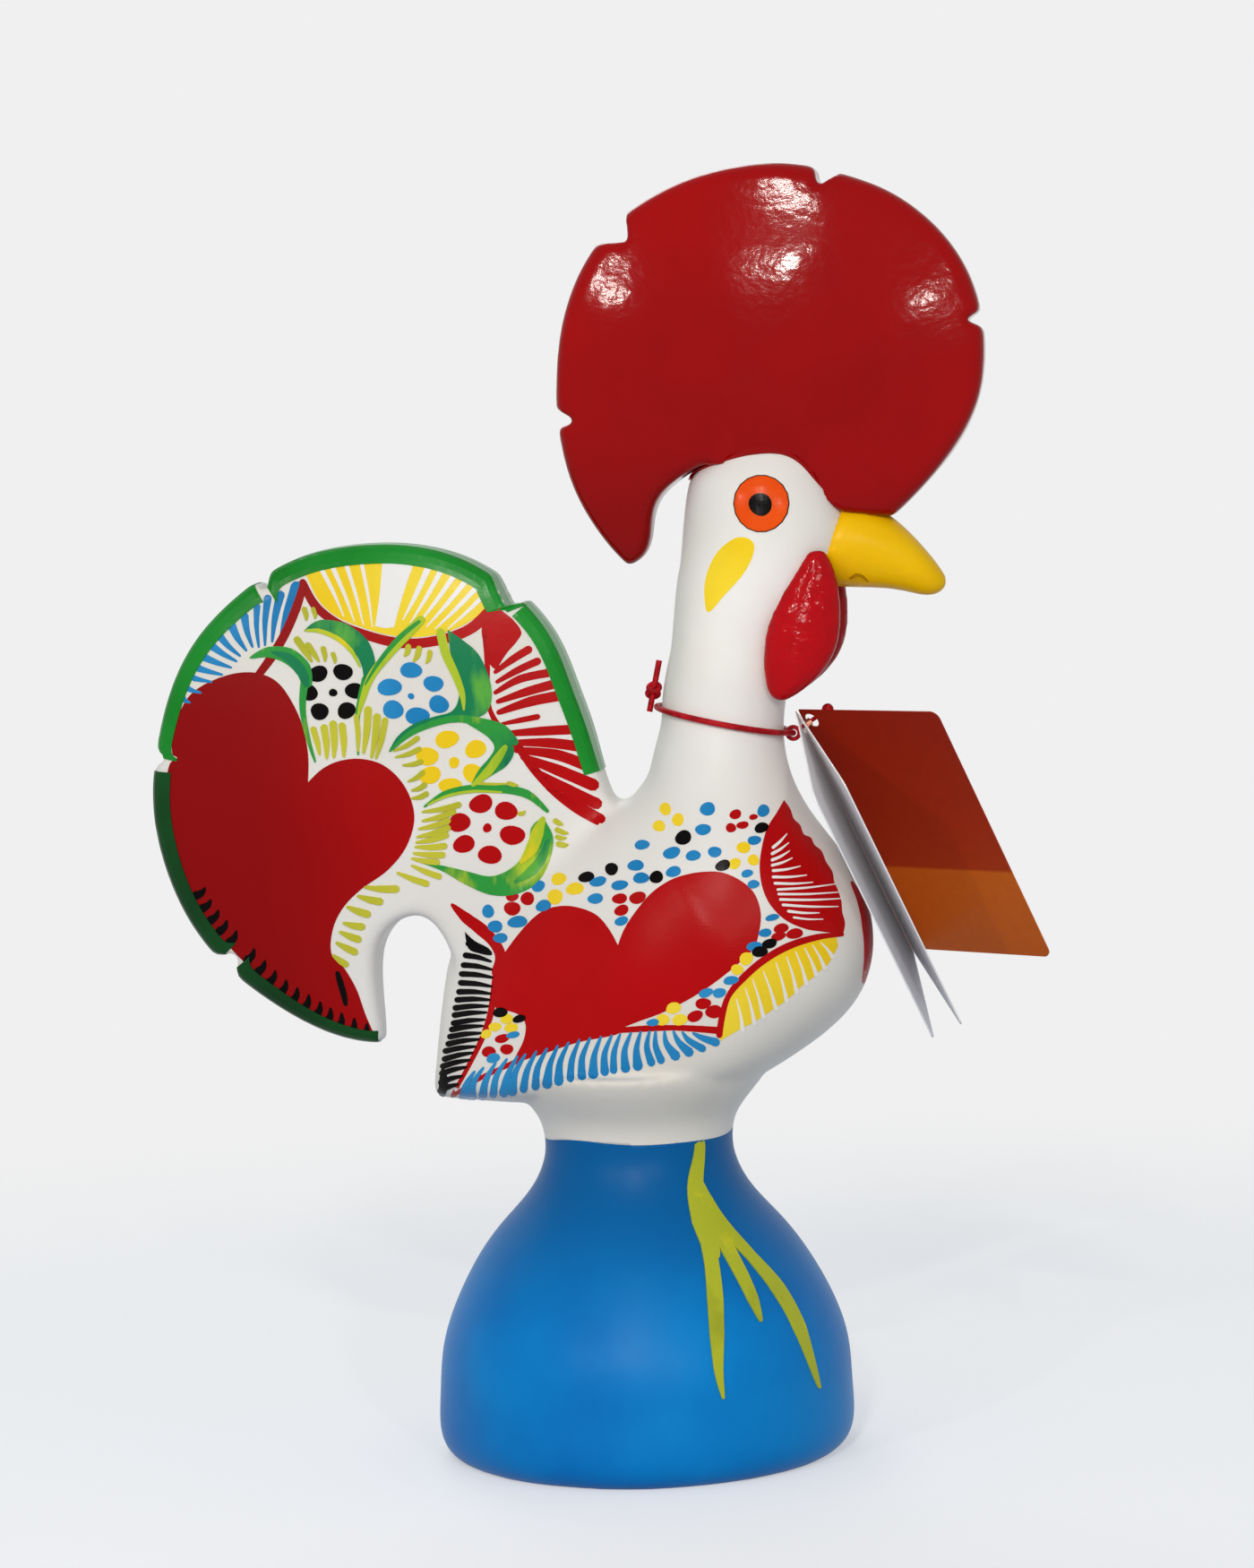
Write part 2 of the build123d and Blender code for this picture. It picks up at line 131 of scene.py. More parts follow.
def add_noise(tree, scale, detail=3.0, stretch=(1, 1, 1), rough=0.5):
    """Noise from 0 to 1 over object places, which are stretched first."""
    mapping = add_node(tree, "Mapping", add_node(tree, "TexCoord").outputs["Object"])
    mapping.inputs["Scale"].default_value = stretch
    texture = add_node(tree, "TexNoise", mapping.outputs["Vector"])
    texture.inputs["Scale"].default_value = scale
    texture.inputs["Detail"].default_value = detail
    texture.inputs["Roughness"].default_value = rough
    return texture.outputs["Fac"]


def add_ramp(tree, factor, stops):
    """A colour from a factor. Each stop is a place from 0 to 1 and its screen colour."""
    ramp = add_node(tree, "ValToRGB", factor)
    elements = ramp.color_ramp.elements
    while len(elements) < len(stops):
        elements.new(0.5)
    for element, (place, code) in zip(elements, stops):
        element.position = place
        element.color = srgb(code)
    return ramp.outputs["Color"]


def add_range(tree, value, start, end, kind="LINEAR"):
    """How far a value has come from the start, as 0, to the end, as 1."""
    share = add_node(tree, "MapRange", value)
    share.interpolation_type = kind
    share.inputs["From Min"].default_value = start
    share.inputs["From Max"].default_value = end
    return share.outputs["Result"]


def add_bumps(tree, shader, layers):
    """A bumpy normal for the shader. Each layer is a height output and its depth in mm."""
    normal = None
    for height, depth in layers:
        bump = add_node(tree, "Bump")
        bump.inputs["Strength"].default_value = 1.0
        bump.inputs["Distance"].default_value = depth * MM
        tree.links.new(height, bump.inputs["Height"])
        if normal is not None:
            tree.links.new(normal, bump.inputs["Normal"])
        normal = bump.outputs["Normal"]
    tree.links.new(normal, shader.inputs["Normal"])


def painted(name, dark, light, roughness=0.22, brush=0.04, lumps=0.12, gloss=0.11, mottle=30):
    """Gloss paint on clay: a slow change of colour, brush marks and the clay's lumps, in mm."""
    material, tree, shader = new_material(name)
    shade = add_noise(tree, mottle, detail=4)
    colour = add_ramp(tree, shade, [(0.35, dark), (0.65, light)])
    tree.links.new(colour, shader.inputs["Base Color"])
    shader.inputs["Roughness"].default_value = roughness
    shader.inputs["Specular IOR Level"].default_value = gloss
    marks = add_noise(tree, BRUSH_SCALE, detail=3, stretch=(1, 1, 1.3))
    clay = add_noise(tree, CLAY_SCALE, detail=2)
    add_bumps(tree, shader, [(clay, lumps), (marks, brush)])
    return material


def toned(material, axis, start, end, code):
    """The material's colour deepens to another between two places, in mm, along an axis."""
    tree = material.node_tree
    base = shader_of(material).inputs["Base Color"]
    colour = base.links[0].from_socket
    split = add_node(tree, "SeparateXYZ", add_node(tree, "TexCoord").outputs["Object"])
    share = add_range(tree, split.outputs[axis], start * MM, end * MM, "SMOOTHSTEP")
    mixed = add_node(tree, "Mix", share)
    mixed.data_type = "RGBA"
    mixed.inputs[MIX_SECOND].default_value = srgb(code)
    tree.links.new(colour, mixed.inputs[MIX_FIRST])
    tree.links.new(mixed.outputs[MIX_RESULT], base)


# Mesh helpers

def mesh_object(name, vertices, faces, material):
    """A new object with one material."""
    mesh = bpy.data.meshes.new(name)
    mesh.from_pydata([tuple(v) for v in vertices], [], faces)
    mesh.update()
    mesh.materials.append(material)
    thing = bpy.data.objects.new(name, mesh)
    collection.objects.link(thing)
    return thing


def recalculated(mesh):
    """The mesh's faces are turned outward."""
    bm = bmesh.new()
    bm.from_mesh(mesh)
    bmesh.ops.recalc_face_normals(bm, faces=bm.faces)
    bm.to_mesh(mesh)
    bm.free()


def read_all(items, field, width=1, kind=int):
    """One field of all of a mesh's items, as an array with this many numbers in a row."""
    values = np.empty(len(items) * width, kind)
    items.foreach_get(field, values)
    return values.reshape(-1, width) if width > 1 else values


def remeshed(name, names, voxel):
    """One closed skin over CAD nodes, as vertex places, faces and edges."""
    bm = bmesh.new()
    for node in names:
        bm.from_mesh(frame["nodes"][node].data)
    mesh = bpy.data.meshes.new(name)
    bm.to_mesh(mesh)
    bm.free()
    thing = bpy.data.objects.new(name, mesh)
    collection.objects.link(thing)
    modifier = thing.modifiers.new("skin", "REMESH")
    modifier.mode = "VOXEL"
    modifier.voxel_size = voxel
    graph = bpy.context.evaluated_depsgraph_get()
    result = bpy.data.meshes.new_from_object(thing.evaluated_get(graph))
    bpy.data.objects.remove(thing)
    spots = read_all(result.vertices, "co", 3, float)
    corners = read_all(result.loops, "vertex_index")
    starts = read_all(result.polygons, "loop_start")
    totals = read_all(result.polygons, "loop_total")
    loops = [tuple(corners[s:s + t].tolist()) for s, t in zip(starts, totals)]
    sides = read_all(result.edges, "vertices", 2)
    bpy.data.meshes.remove(result)
    return spots, loops, sides


SMOOTH_WEIGHT = 0.5


def smoothed(spots, sides, steps, weight=SMOOTH_WEIGHT):
    """Vertices moved towards their neighbours' mean. The weight may differ by vertex."""
    count = np.bincount(sides.ravel(), minlength=len(spots)).clip(1)[:, None]
    share = np.broadcast_to(np.asarray(weight, float).reshape(-1, 1), (len(spots), 1))
    for _ in range(steps):
        total = np.zeros_like(spots)
        for axis in range(3):
            total[:, axis] = np.bincount(sides[:, 0], spots[sides[:, 1], axis], len(spots))
            total[:, axis] += np.bincount(sides[:, 1], spots[sides[:, 0], axis], len(spots))
        spots = spots + (total / count - spots) * share
    return spots


def shade_smooth(thing):
    """The object is shaded without flat faces."""
    mesh = thing.data
    mesh.polygons.foreach_set("use_smooth", [True] * len(mesh.polygons))
    mesh.update()


def bell(values, centre, reach):
    """A smooth weight, 1 at the centre and 0 beyond the reach, both in mm."""
    share = np.clip(np.abs(values - centre * MM) / (reach * MM), 0, 1)
    return 1 - share * share * (3 - 2 * share)


# Without a seed of its own this noise starts from the clock
NOISE_SEED = 5
noise.seed_set(NOISE_SEED)


def uneven(spots, amount, size, shift):
    """Lumps of hand-worked clay: noise of this size, read from a shifted place, moves each place."""
    moves = [noise.noise_vector(Vector(p) / size + Vector((shift, 0, 0))) for p in spots]
    return spots + np.array([tuple(move) for move in moves]) * amount


# Bird and foot: one skin, cut at the painted waist line
WHITE_NODES = ("body_right_half", "body_left_half", "tail_right_half", "tail_left_half")
SKIN_VOXEL = 0.8 * MM
BIRD_STEPS = 4
BIRD_LUMP = 0.25 * MM
BIRD_LUMP_SIZE = 22 * MM
BIRD_SHIFT = 3
WAIST_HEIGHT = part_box("foot")[1].z
WAIST_WAVE = 0.45 * MM
CUT_SLACK = 1e-7

# The skin settles where the tail meets the back, and at the waist. Middles and reaches are in mm.
SETTLE_X = (-22, 34)
SETTLE_Z = (138, 40)
WAIST_REACH = 6
SETTLE_STEPS = 90

white = painted("cream_white_paint", "E6E0D6", "EFECE8", roughness=0.36, brush=0.02, lumps=0.08, mottle=14)
blue = painted("blue_paint", "0074C2", "0486D2", roughness=0.4, brush=0.02, lumps=0.1)
# Painted shade: the blue deepens towards the top of the foot
toned(blue, 2, 30, 68, "005E9E")
red = painted("deep_red_paint", "9A0002", "A80003", roughness=0.1, brush=0.06, lumps=0.2)
# Painted shade: the comb's red deepens towards its lower part, near the head
toned(red, 2, 245, 200, "880002")
yellow = painted("yellow_paint", "EBB000", "F0BE04", roughness=0.3)
wattle_red = painted("wattle_red_paint", "A00008", "B0000C", roughness=0.1, brush=0.32, lumps=0.5)

voxel = SKIN_VOXEL
places, faces, edges = remeshed("bird_skin", WHITE_NODES + ("foot",), voxel)
settle = bell(places[:, 0], *SETTLE_X) * bell(places[:, 2], *SETTLE_Z)
waist = bell(places[:, 2], WAIST_HEIGHT / MM, WAIST_REACH)
places = smoothed(places, edges, BIRD_STEPS)
places = smoothed(places, edges, SETTLE_STEPS, SMOOTH_WEIGHT * np.maximum(settle, waist))
places = uneven(places, BIRD_LUMP, BIRD_LUMP_SIZE, BIRD_SHIFT)


def wave_at(x, y):
    """How far the waist line rises at a place round the foot."""
    angle = atan2(y, x)
    return WAIST_WAVE * (sin(3 * angle + 1.1) + 0.6 * sin(5 * angle))


def cut_skin(name, keep_above, material):
    """The part of the skin above or below the waist line, closed at the cut."""
    bm = bmesh.new()
    mesh = bpy.data.meshes.new(name)
    waved = [(x, y, z - wave_at(x, y)) for x, y, z in places]
    mesh.from_pydata(waved, [], faces)
    bm.from_mesh(mesh)
    way = 1 if keep_above else -1
    bmesh.ops.bisect_plane(
        bm, geom=bm.verts[:] + bm.edges[:] + bm.faces[:], dist=CUT_SLACK,
        plane_co=(0, 0, WAIST_HEIGHT), plane_no=(0, 0, way), clear_inner=True,
    )
    rim = [e for e in bm.edges if e.is_boundary]
    bmesh.ops.bridge_loops(bm, edges=rim)
    for vertex in bm.verts:
        vertex.co.z += wave_at(vertex.co.x, vertex.co.y)
    bmesh.ops.recalc_face_normals(bm, faces=bm.faces)
    bm.to_mesh(mesh)
    bm.free()
    mesh.materials.append(material)
    thing = bpy.data.objects.new(name, mesh)
    collection.objects.link(thing)
    shade_smooth(thing)
    return thing


bird_skin = cut_skin("bird_skin", True, white)
foot_skin = cut_skin("foot_skin", False, blue)
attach(bird_skin, "rooster")
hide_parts(*WHITE_NODES)
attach(foot_skin, "rooster")
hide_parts("foot")

# The smaller clay pieces. The comb's voxels are larger by its share.
FINE_VOXEL = 0.55 * MM
COMB_SHARE = 1.2
CLAY_LUMP_SIZE = 16 * MM
COMB_NODES = ("comb_right_half", "comb_left_half")


def clay_skin(name, nodes, size, steps, material, lump, shift, swell):
    """A skin over one clay piece. Lump and swell, which closes it on its neighbours, are in mm."""
    spots, loops, sides = remeshed(name, nodes, size)
    spots = uneven(smoothed(spots, sides, steps), lump * MM, CLAY_LUMP_SIZE, shift)
    thing = mesh_object(name, spots, loops, material)
    recalculated(thing.data)
    for vertex, normal in zip(thing.data.vertices, [v.normal.copy() for v in thing.data.vertices]):
        vertex.co += normal * (swell * MM)
    shade_smooth(thing)
    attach(thing, "rooster")
    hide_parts(*nodes)
    return thing


fine = FINE_VOXEL
comb_skin = clay_skin("comb_skin", COMB_NODES, fine * COMB_SHARE, 5, red, 0.2, 9, 0.2)
beak_skin = clay_skin("beak_skin", ("beak",), fine, 8, yellow, 0.1, 14, 0.2)
wattle_skins = [
    clay_skin(f"wattle_skin_{side}", (f"wattle_{side}",), fine, 8, wattle_red, 0.25, shift, 0.15)
    for side, shift in (("right", 21), ("left", 27))
]

# Paint: thin closed films laid on the skin along rays from the camera. Steps are in photo pixels.
FILM_STEP = 4.0
FILM_ROOT = 0.30 * MM
FILM_BASE = 0.05 * MM
LEVEL = 0.05 * MM
COAT_STEP = 0.02 * MM
DOT_SIDES = 18
CAP_TURNS = (-pi / 4, -pi / 2, -3 * pi / 4)
LAID_STEPS = 30
RIM_GAP = 0.45
INSIDE_ONLY = 1
SAME_SPOT = 1e-4
SHORTEST = 1e-6


def tree_of(thing):
    """The object's faces as a tree that rays can be cast at."""
    bm = bmesh.new()
    bm.from_mesh(thing.data)
    bmesh.ops.triangulate(bm, faces=bm.faces)
    made = BVHTree.FromBMesh(bm)
    bm.free()
    return made


bird_tree = tree_of(bird_skin)
foot_tree = tree_of(foot_skin)


def catmull(points, closed=False, steps=6):
    """A smooth run through points."""
    run = []
    count = len(points)
    spans = count if closed else count - 1
    for i in range(spans):
        if closed:
            quad = [points[(i + k - 1) % count] for k in range(4)]
        else:
            quad = [points[min(max(i + k - 1, 0), count - 1)] for k in range(4)]
        for step in range(steps):
            t = step / steps
            run.append(tuple(
                0.5 * (2 * b + (c - a) * t + (2 * a - 5 * b + 4 * c - d) * t * t
                       + (3 * b - a - 3 * c + d) * t * t * t)
                for a, b, c, d in zip(*quad)
            ))
    if not closed:
        run.append(points[-1])
    return run


def outline_of(*runs):
    """A closed outline from smooth runs. Each starts at the corner where the one before it ends."""
    pairs = zip(runs[-1:] + runs[:-1], runs)
    return [point for last, run in pairs for point in catmull(last[-1:] + run)[:-1]]


def dot(x, y, wide, tall, lean=0.0, wobble=0.06):
    """The outline of a dab of paint, a little out of round."""
    outline = []
    for step in range(DOT_SIDES):
        angle = 2 * pi * step / DOT_SIDES
        size = 1 + wobble * sin(2 * angle + x) + wobble * 0.5 * sin(3 * angle + y)
        u = wide * cos(angle) * size
        v = tall * sin(angle) * size
        outline.append((x + u * cos(lean) - v * sin(lean), y + u * sin(lean) + v * cos(lean)))
    return outline


def cap(centre, start):
    """Points of a round end, from one edge of a stroke to the other."""
    dx = start[0] - centre[0]
    dy = start[1] - centre[1]
    turned = [(dx * cos(a) - dy * sin(a), dx * sin(a) + dy * cos(a)) for a in CAP_TURNS]
    return [(centre[0] + u, centre[1] + v) for u, v in turned]


def stroke(points, half_widths):
    """A brush stroke along points, with its half-widths and round ends."""
    line = catmull(points, steps=5)
    total = len(line) - 1
    left = []
    far = []
    for i, (x, y) in enumerate(line):
        x0, y0 = line[max(i - 1, 0)]
        x1, y1 = line[min(i + 1, total)]
        length = max(hypot(x1 - x0, y1 - y0), SHORTEST)
        place = i / total * (len(half_widths) - 1)
        low = min(int(place), len(half_widths) - 2)
        half = half_widths[low] + (half_widths[low + 1] - half_widths[low]) * (place - low)
        across_x = -(y1 - y0) / length * half
        across_y = (x1 - x0) / length * half
        left.append((x + across_x, y + across_y))
        far.append((x - across_x, y - across_y))
    return left + cap(line[-1], left[-1]) + far[::-1] + cap(line[0], far[0])


def inside(x, y, outline):
    """Whether a place lies inside an outline."""
    result = False
    for (x0, y0), (x1, y1) in zip(outline, outline[1:] + outline[:1]):
        if (y0 > y) != (y1 > y) and x < (x1 - x0) * (y - y0) / (y1 - y0) + x0:
            result = not result
    return result


def laid(x, y, middle, surface, side=1):
    """The skin under a photo pixel, or on side -1 under its mirror image on the bird's left.
    Past the skin's edge it is the nearest skin on the way to the middle, up to half of that way."""
    start = Vector((CAMERA_PLACE.x, CAMERA_PLACE.y * side, CAMERA_PLACE.z))
    for step in range(LAID_STEPS):
        share = step / (2 * LAID_STEPS)
        way = pixel_way(x + (middle[0] - x) * share, y + (middle[1] - y) * share)
        place, normal, _, _ = surface.ray_cast(start, Vector((way.x, way.y * side, way.z)))
        if place is not None:
            return place, normal
    return None, None


class Film:
    """All paint of one colour, on both sides of the bird. Later coats lie over earlier ones."""

    coats = 0

    def __init__(self, name, material, slot, surface=bird_tree):
        self.name = name
        self.material = material
        self.slot = slot
        self.surface = surface
        self.base = FILM_BASE + COAT_STEP * Film.coats
        self.vertices = []
        self.faces = []
        Film.coats += 1

    def add(self, outline, level, both=True, step=FILM_STEP):
        """Paint inside an outline in photo pixels, on one side or both."""
        xs = [p[0] for p in outline]
        ys = [p[1] for p in outline]
        middle = (sum(xs) / len(xs), sum(ys) / len(ys))
        spots = [Vector(p) for p in outline]
        y = min(ys) + step
        while y < max(ys):
            x = min(xs) + step
            while x < max(xs):
                if inside(x, y, outline):
                    gap = min((x - px) ** 2 + (y - py) ** 2 for px, py in outline)
                    if gap > (RIM_GAP * step) ** 2:
                        spots.append(Vector((x, y)))
                x += step
            y += step
        ring = list(range(len(outline)))
        rim = list(zip(ring, ring[1:] + ring[:1]))
        flat, _, triangles, *_ = delaunay_2d_cdt(spots, rim, [ring], INSIDE_ONLY, SAME_SPOT)
        for side in ((1, -1) if both else (1,)):
            hits = [laid(spot.x, spot.y, middle, self.surface, side) for spot in flat]
            if all(place is not None for place, _ in hits):
                self.lay(hits, level, triangles)

    def lay(self, hits, level, faces):
        """A closed film over faces, with its top above the skin and its root below it."""
        base = len(self.vertices)
        count = len(hits)
        self.vertices += [place + normal * (self.base + LEVEL * level) for place, normal in hits]
        self.vertices += [place - normal * FILM_ROOT for place, normal in hits]
        open_edges = {}
        for face in faces:
            self.faces.append([base + i for i in face])
            self.faces.append([base + count + i for i in reversed(face)])
            for a, b in zip(face, face[1:] + face[:1]):
                key = (min(a, b), max(a, b))
                open_edges[key] = None if key in open_edges else (a, b)
        for a, b in filter(None, open_edges.values()):
            self.faces.append([base + b, base + a, base + count + a, base + count + b])

    def finish(self, body="rooster"):
        """The film's object, on its body."""
        thing = mesh_object(self.name, self.vertices, self.faces, self.material)
        recalculated(thing.data)
        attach(thing, body)


red_paint = painted("red_pattern_paint", "B00002", "BC0004", roughness=0.34, lumps=0.1)
toned(red_paint, 0, -30, -95, "900002")
black_paint = painted("black_pattern_paint", "060404", "0E0A0A", gloss=0.05)
red_film = Film("red_pattern", red_paint, "red_clay")
yellow_film = Film("yellow_pattern", painted("yellow_pattern_paint", "F5CB10", "FBDD3A"), "yellow_clay")
blue_film = Film("blue_pattern", painted("blue_pattern_paint", "1277B4", "3093CE"), "blue_clay")
black_film = Film("black_pattern", black_paint, "white_clay")
white_film = Film("white_pattern", painted("white_pattern_paint", "EFEBE6", "F5F2EE"), "white_clay")
orange_film = Film("orange_iris", painted("orange_paint", "EA4A05", "F45A0C"), "yellow_clay")
dot_films = {"blue": blue_film, "yellow": yellow_film, "black": black_film, "red": red_film}

# Fine strokes are filled with a closer grid than broad fields
FINE_STEP = 3.0
DOT_STEP = 3.5
CREASE_STEP = 2.5


def add_strokes(film, strokes, level, step=FILM_STEP):
    """Brush strokes of one film. Each holds its points and its half-widths along them."""
    for points, half_widths in strokes:
        film.add(stroke(points, half_widths), level, step=step)


def bowed(ends, bow):
    """A short stroke's start, middle and end, with its middle moved by the bow."""
    x0, y0, x1, y1 = ends
    return [(x0, y0), ((x0 + x1) / 2 + bow[0], (y0 + y1) / 2 + bow[1]), (x1, y1)]


# Eye and ear spot. An eye ring has its film, centre, half-sizes, wobble and level.
EYE = (850, 562)
PUPIL = (849, 563)
EYE_RINGS = [
    (black_film, EYE, 31, 32.5, 0.01, 1),
    (orange_film, EYE, 29.6, 31.2, 0.01, 2),
    (black_film, PUPIL, 12.5, 13, 0.04, 5),
]
for film, (x, y), wide, tall, wobble, level in EYE_RINGS:
    film.add(dot(x, y, wide, tall, wobble=wobble), level)

EAR = [(818, 602), (833, 600), (842, 608), (839, 624), (828, 643), (809, 664), (792, 683), (787, 672),
       (788, 646), (799, 619)]
yellow_film.add(catmull(EAR, closed=True, steps=5), 1)

# Wing: heart and borders
WING_HEART = (
    [(577, 1045), (594, 1026), (610, 1015), (630, 1011), (650, 1014), (667, 1022), (680, 1037),
     (690, 1055)],
    [(697, 1037), (710, 1017), (727, 997), (747, 983), (767, 976), (787, 973), (807, 974), (827, 983),
     (842, 997), (849, 1017), (848, 1037), (842, 1057), (827, 1073), (800, 1095), (773, 1113),
     (740, 1130), (713, 1140), (693, 1148)],
    [(687, 1155), (647, 1163), (613, 1174), (580, 1185), (570, 1189)],
    [(578, 1175), (585, 1160), (587, 1144), (580, 1133), (566, 1128), (555, 1127)],
    [(551, 1117), (552, 1093), (555, 1077), (561, 1067)],
)
WING_BORDERS = [
    ([(505, 1010), (520, 1024), (537, 1037), (552, 1052), (559, 1068), (554, 1085)], [2, 6, 7, 6, 6, 5]),
    ([(554, 1085), (551, 1110), (547, 1135), (537, 1162), (522, 1192), (505, 1223)],
     [3.5, 3.5, 3.5, 3, 2.5, 2]),
    ([(690, 1150), (720, 1148), (750, 1147), (775, 1148), (802, 1150)], [3, 3.5, 3, 3.5, 4]),
    ([(578, 1184), (556, 1194), (533, 1205), (507, 1222)], [3, 2.5, 2.5, 2]),
]
FAN_BORDERS = [
    ([(803, 1155), (806, 1135), (813, 1112), (829, 1092), (852, 1072), (880, 1056), (912, 1046),
      (940, 1043)], [3.5, 3.5, 3, 4, 4, 4, 3.5, 2]),
]
red_film.add(outline_of(*WING_HEART), 1)
add_strokes(red_film, WING_BORDERS, 1)
add_strokes(red_film, FAN_BORDERS, 2)

# Black strokes along the rump, with a filled tip at both ends
RUMP_STROKES = [
    (548, 1063, 523, 1053), (548, 1073, 520, 1066), (549, 1082, 518, 1077), (550, 1091, 516, 1087),
    (549, 1101, 515, 1097), (548, 1109, 513, 1107), (547, 1116, 511, 1116), (545, 1123, 509, 1125),
    (543, 1130, 508, 1133), (541, 1138, 507, 1142), (539, 1145, 505, 1149), (537, 1153, 503, 1157),
    (535, 1160, 501, 1165), (531, 1168, 498, 1173), (528, 1175, 497, 1182), (525, 1183, 495, 1190),
    (521, 1191, 494, 1198), (516, 1201, 493, 1208), (511, 1210, 492, 1217),
]
RUMP_BOW = (0, -1)
RUMP_WIDTHS = [1.4, 2.9, 3.3]
RUMP_TIPS = [
    [(530, 1050), (545, 1058), (549, 1066), (535, 1064), (523, 1058), (519, 1040)],
    [(499, 1200), (500, 1212), (496, 1224), (491, 1222), (491, 1206), (494, 1190)],
]
for ends in RUMP_STROKES:
    black_film.add(stroke(bowed(ends, RUMP_BOW), RUMP_WIDTHS), 2, step=FINE_STEP)
for tip in RUMP_TIPS:
    black_film.add(outline_of(tip), 2, step=FINE_STEP)

# Blue strokes under the heart, spaced along two runs, and four more in the corner
BLUE_TOPS = [(530, 1196), (560, 1184), (590, 1176), (620, 1168), (650, 1160), (680, 1156), (710, 1152),
             (732, 1151)]
BLUE_ENDS = [(517, 1226), (545, 1222), (575, 1217), (608, 1210), (640, 1203), (672, 1197), (705, 1191),
             (738, 1183)]
BLUE_CORNER = [
    (742, 1151, 754, 1178), (752, 1151, 769, 1174), (762, 1152, 784, 1170), (774, 1153, 799, 1163),
]
BLUE_COUNT = 19
BLUE_BOWS = (-3, -4)
BLUE_WIDTHS = [1.2, 3.2]
BLUE_END = 5.0
BLUE_UNEVEN = 0.8
top_run = catmull(BLUE_TOPS, steps=10)
end_run = catmull(BLUE_ENDS, steps=10)
last_spot = len(top_run) - 1
blue_spots = [round(i * last_spot / (BLUE_COUNT - 1)) for i in range(BLUE_COUNT)]
blue_strokes = [top_run[spot] + end_run[spot] for spot in blue_spots] + BLUE_CORNER
for i, ends in enumerate(blue_strokes):
    half_widths = BLUE_WIDTHS + [BLUE_END + BLUE_UNEVEN * sin(i * 1.7)]
    blue_film.add(stroke(bowed(ends, (BLUE_BOWS[i % 2], 0)), half_widths), 2, step=FINE_STEP)

# Red fan on the breast with its white streaks, and a red stroke along the breast's edge that is a painted
# reflection of the tag.
RED_FAN = (
    [(867, 907), (857, 923), (851, 943), (848, 967), (851, 990), (860, 1010), (877, 1027), (900, 1037),
     (920, 1040), (941, 1043)],
    [(943, 1030), (940, 1018), (939, 1006), (935, 993), (931, 984), (929, 973), (922, 962), (917, 950),
     (909, 943), (905, 935), (897, 931), (893, 921), (886, 914), (882, 903), (875, 893)],
)
# Painted reflection of the tag on the breast's edge, laid in the pattern's red on the near side only
TAG_REFLECTION_EDGE = [(951, 985), (962, 1008), (968, 1035), (969, 1065), (964, 1096)]
TAG_REFLECTION_WIDTHS = [1.5, 4.5, 5.5, 4.5, 1.5]
FAN_STREAKS = [
    (863, 946, 878, 931, 1.8), (862, 953, 880, 941, 1.8), (862, 960, 881, 950, 1.8),
    (862, 966, 884, 958, 1.6), (863, 972, 893, 967, 1.6), (863, 979, 900, 977, 1.6),
    (865, 986, 907, 985, 1.6), (868, 993, 932, 987, 1.4), (869, 998, 936, 996, 1.4),
    (871, 1004, 939, 1003, 1.5), (874, 1010, 935, 1012, 1.5), (880, 1017, 914, 1019, 1.6),
    (886, 1024, 918, 1026, 1.2),
]
FAN_BOW = (0, 1)
STREAK_POINT = 0.5
red_film.add(outline_of(*RED_FAN), 1)
red_film.add(stroke(TAG_REFLECTION_EDGE, TAG_REFLECTION_WIDTHS), 1, both=False, step=FINE_STEP)
for *ends, half in FAN_STREAKS:
    white_film.add(stroke(bowed(ends, FAN_BOW), [half, half * 0.8, STREAK_POINT]), 2, step=FINE_STEP)

# Yellow fan under it, whose white streaks widen outward
YELLOW_FAN = (
    [(808, 1143), (812, 1122), (824, 1100), (842, 1082), (864, 1064), (890, 1052), (914, 1047),
     (933, 1046)],
    [(935, 1056), (929, 1067), (924, 1076), (913, 1085), (906, 1092), (895, 1100), (885, 1110),
     (874, 1119), (862, 1127), (850, 1135), (839, 1142), (827, 1148), (815, 1155), (803, 1162)],
)
YELLOW_STREAKS = [
    (822, 1115, 829, 1149), (832, 1103, 842, 1142), (840, 1093, 852, 1135), (852, 1084, 866, 1126),
    (866, 1074, 878, 1117), (878, 1068, 889, 1107), (888, 1062, 900, 1098), (898, 1058, 911, 1088),
    (907, 1055, 920, 1080), (916, 1052, 929, 1068),
]
YELLOW_STREAK_WIDTHS = [STREAK_POINT, 1.2, 2.4]
STREAK_BOW = (1, 0)
yellow_film.add(outline_of(*YELLOW_FAN), 1)
for ends in YELLOW_STREAKS:
    white_film.add(stroke(bowed(ends, STREAK_BOW), YELLOW_STREAK_WIDTHS), 2, step=FINE_STEP)

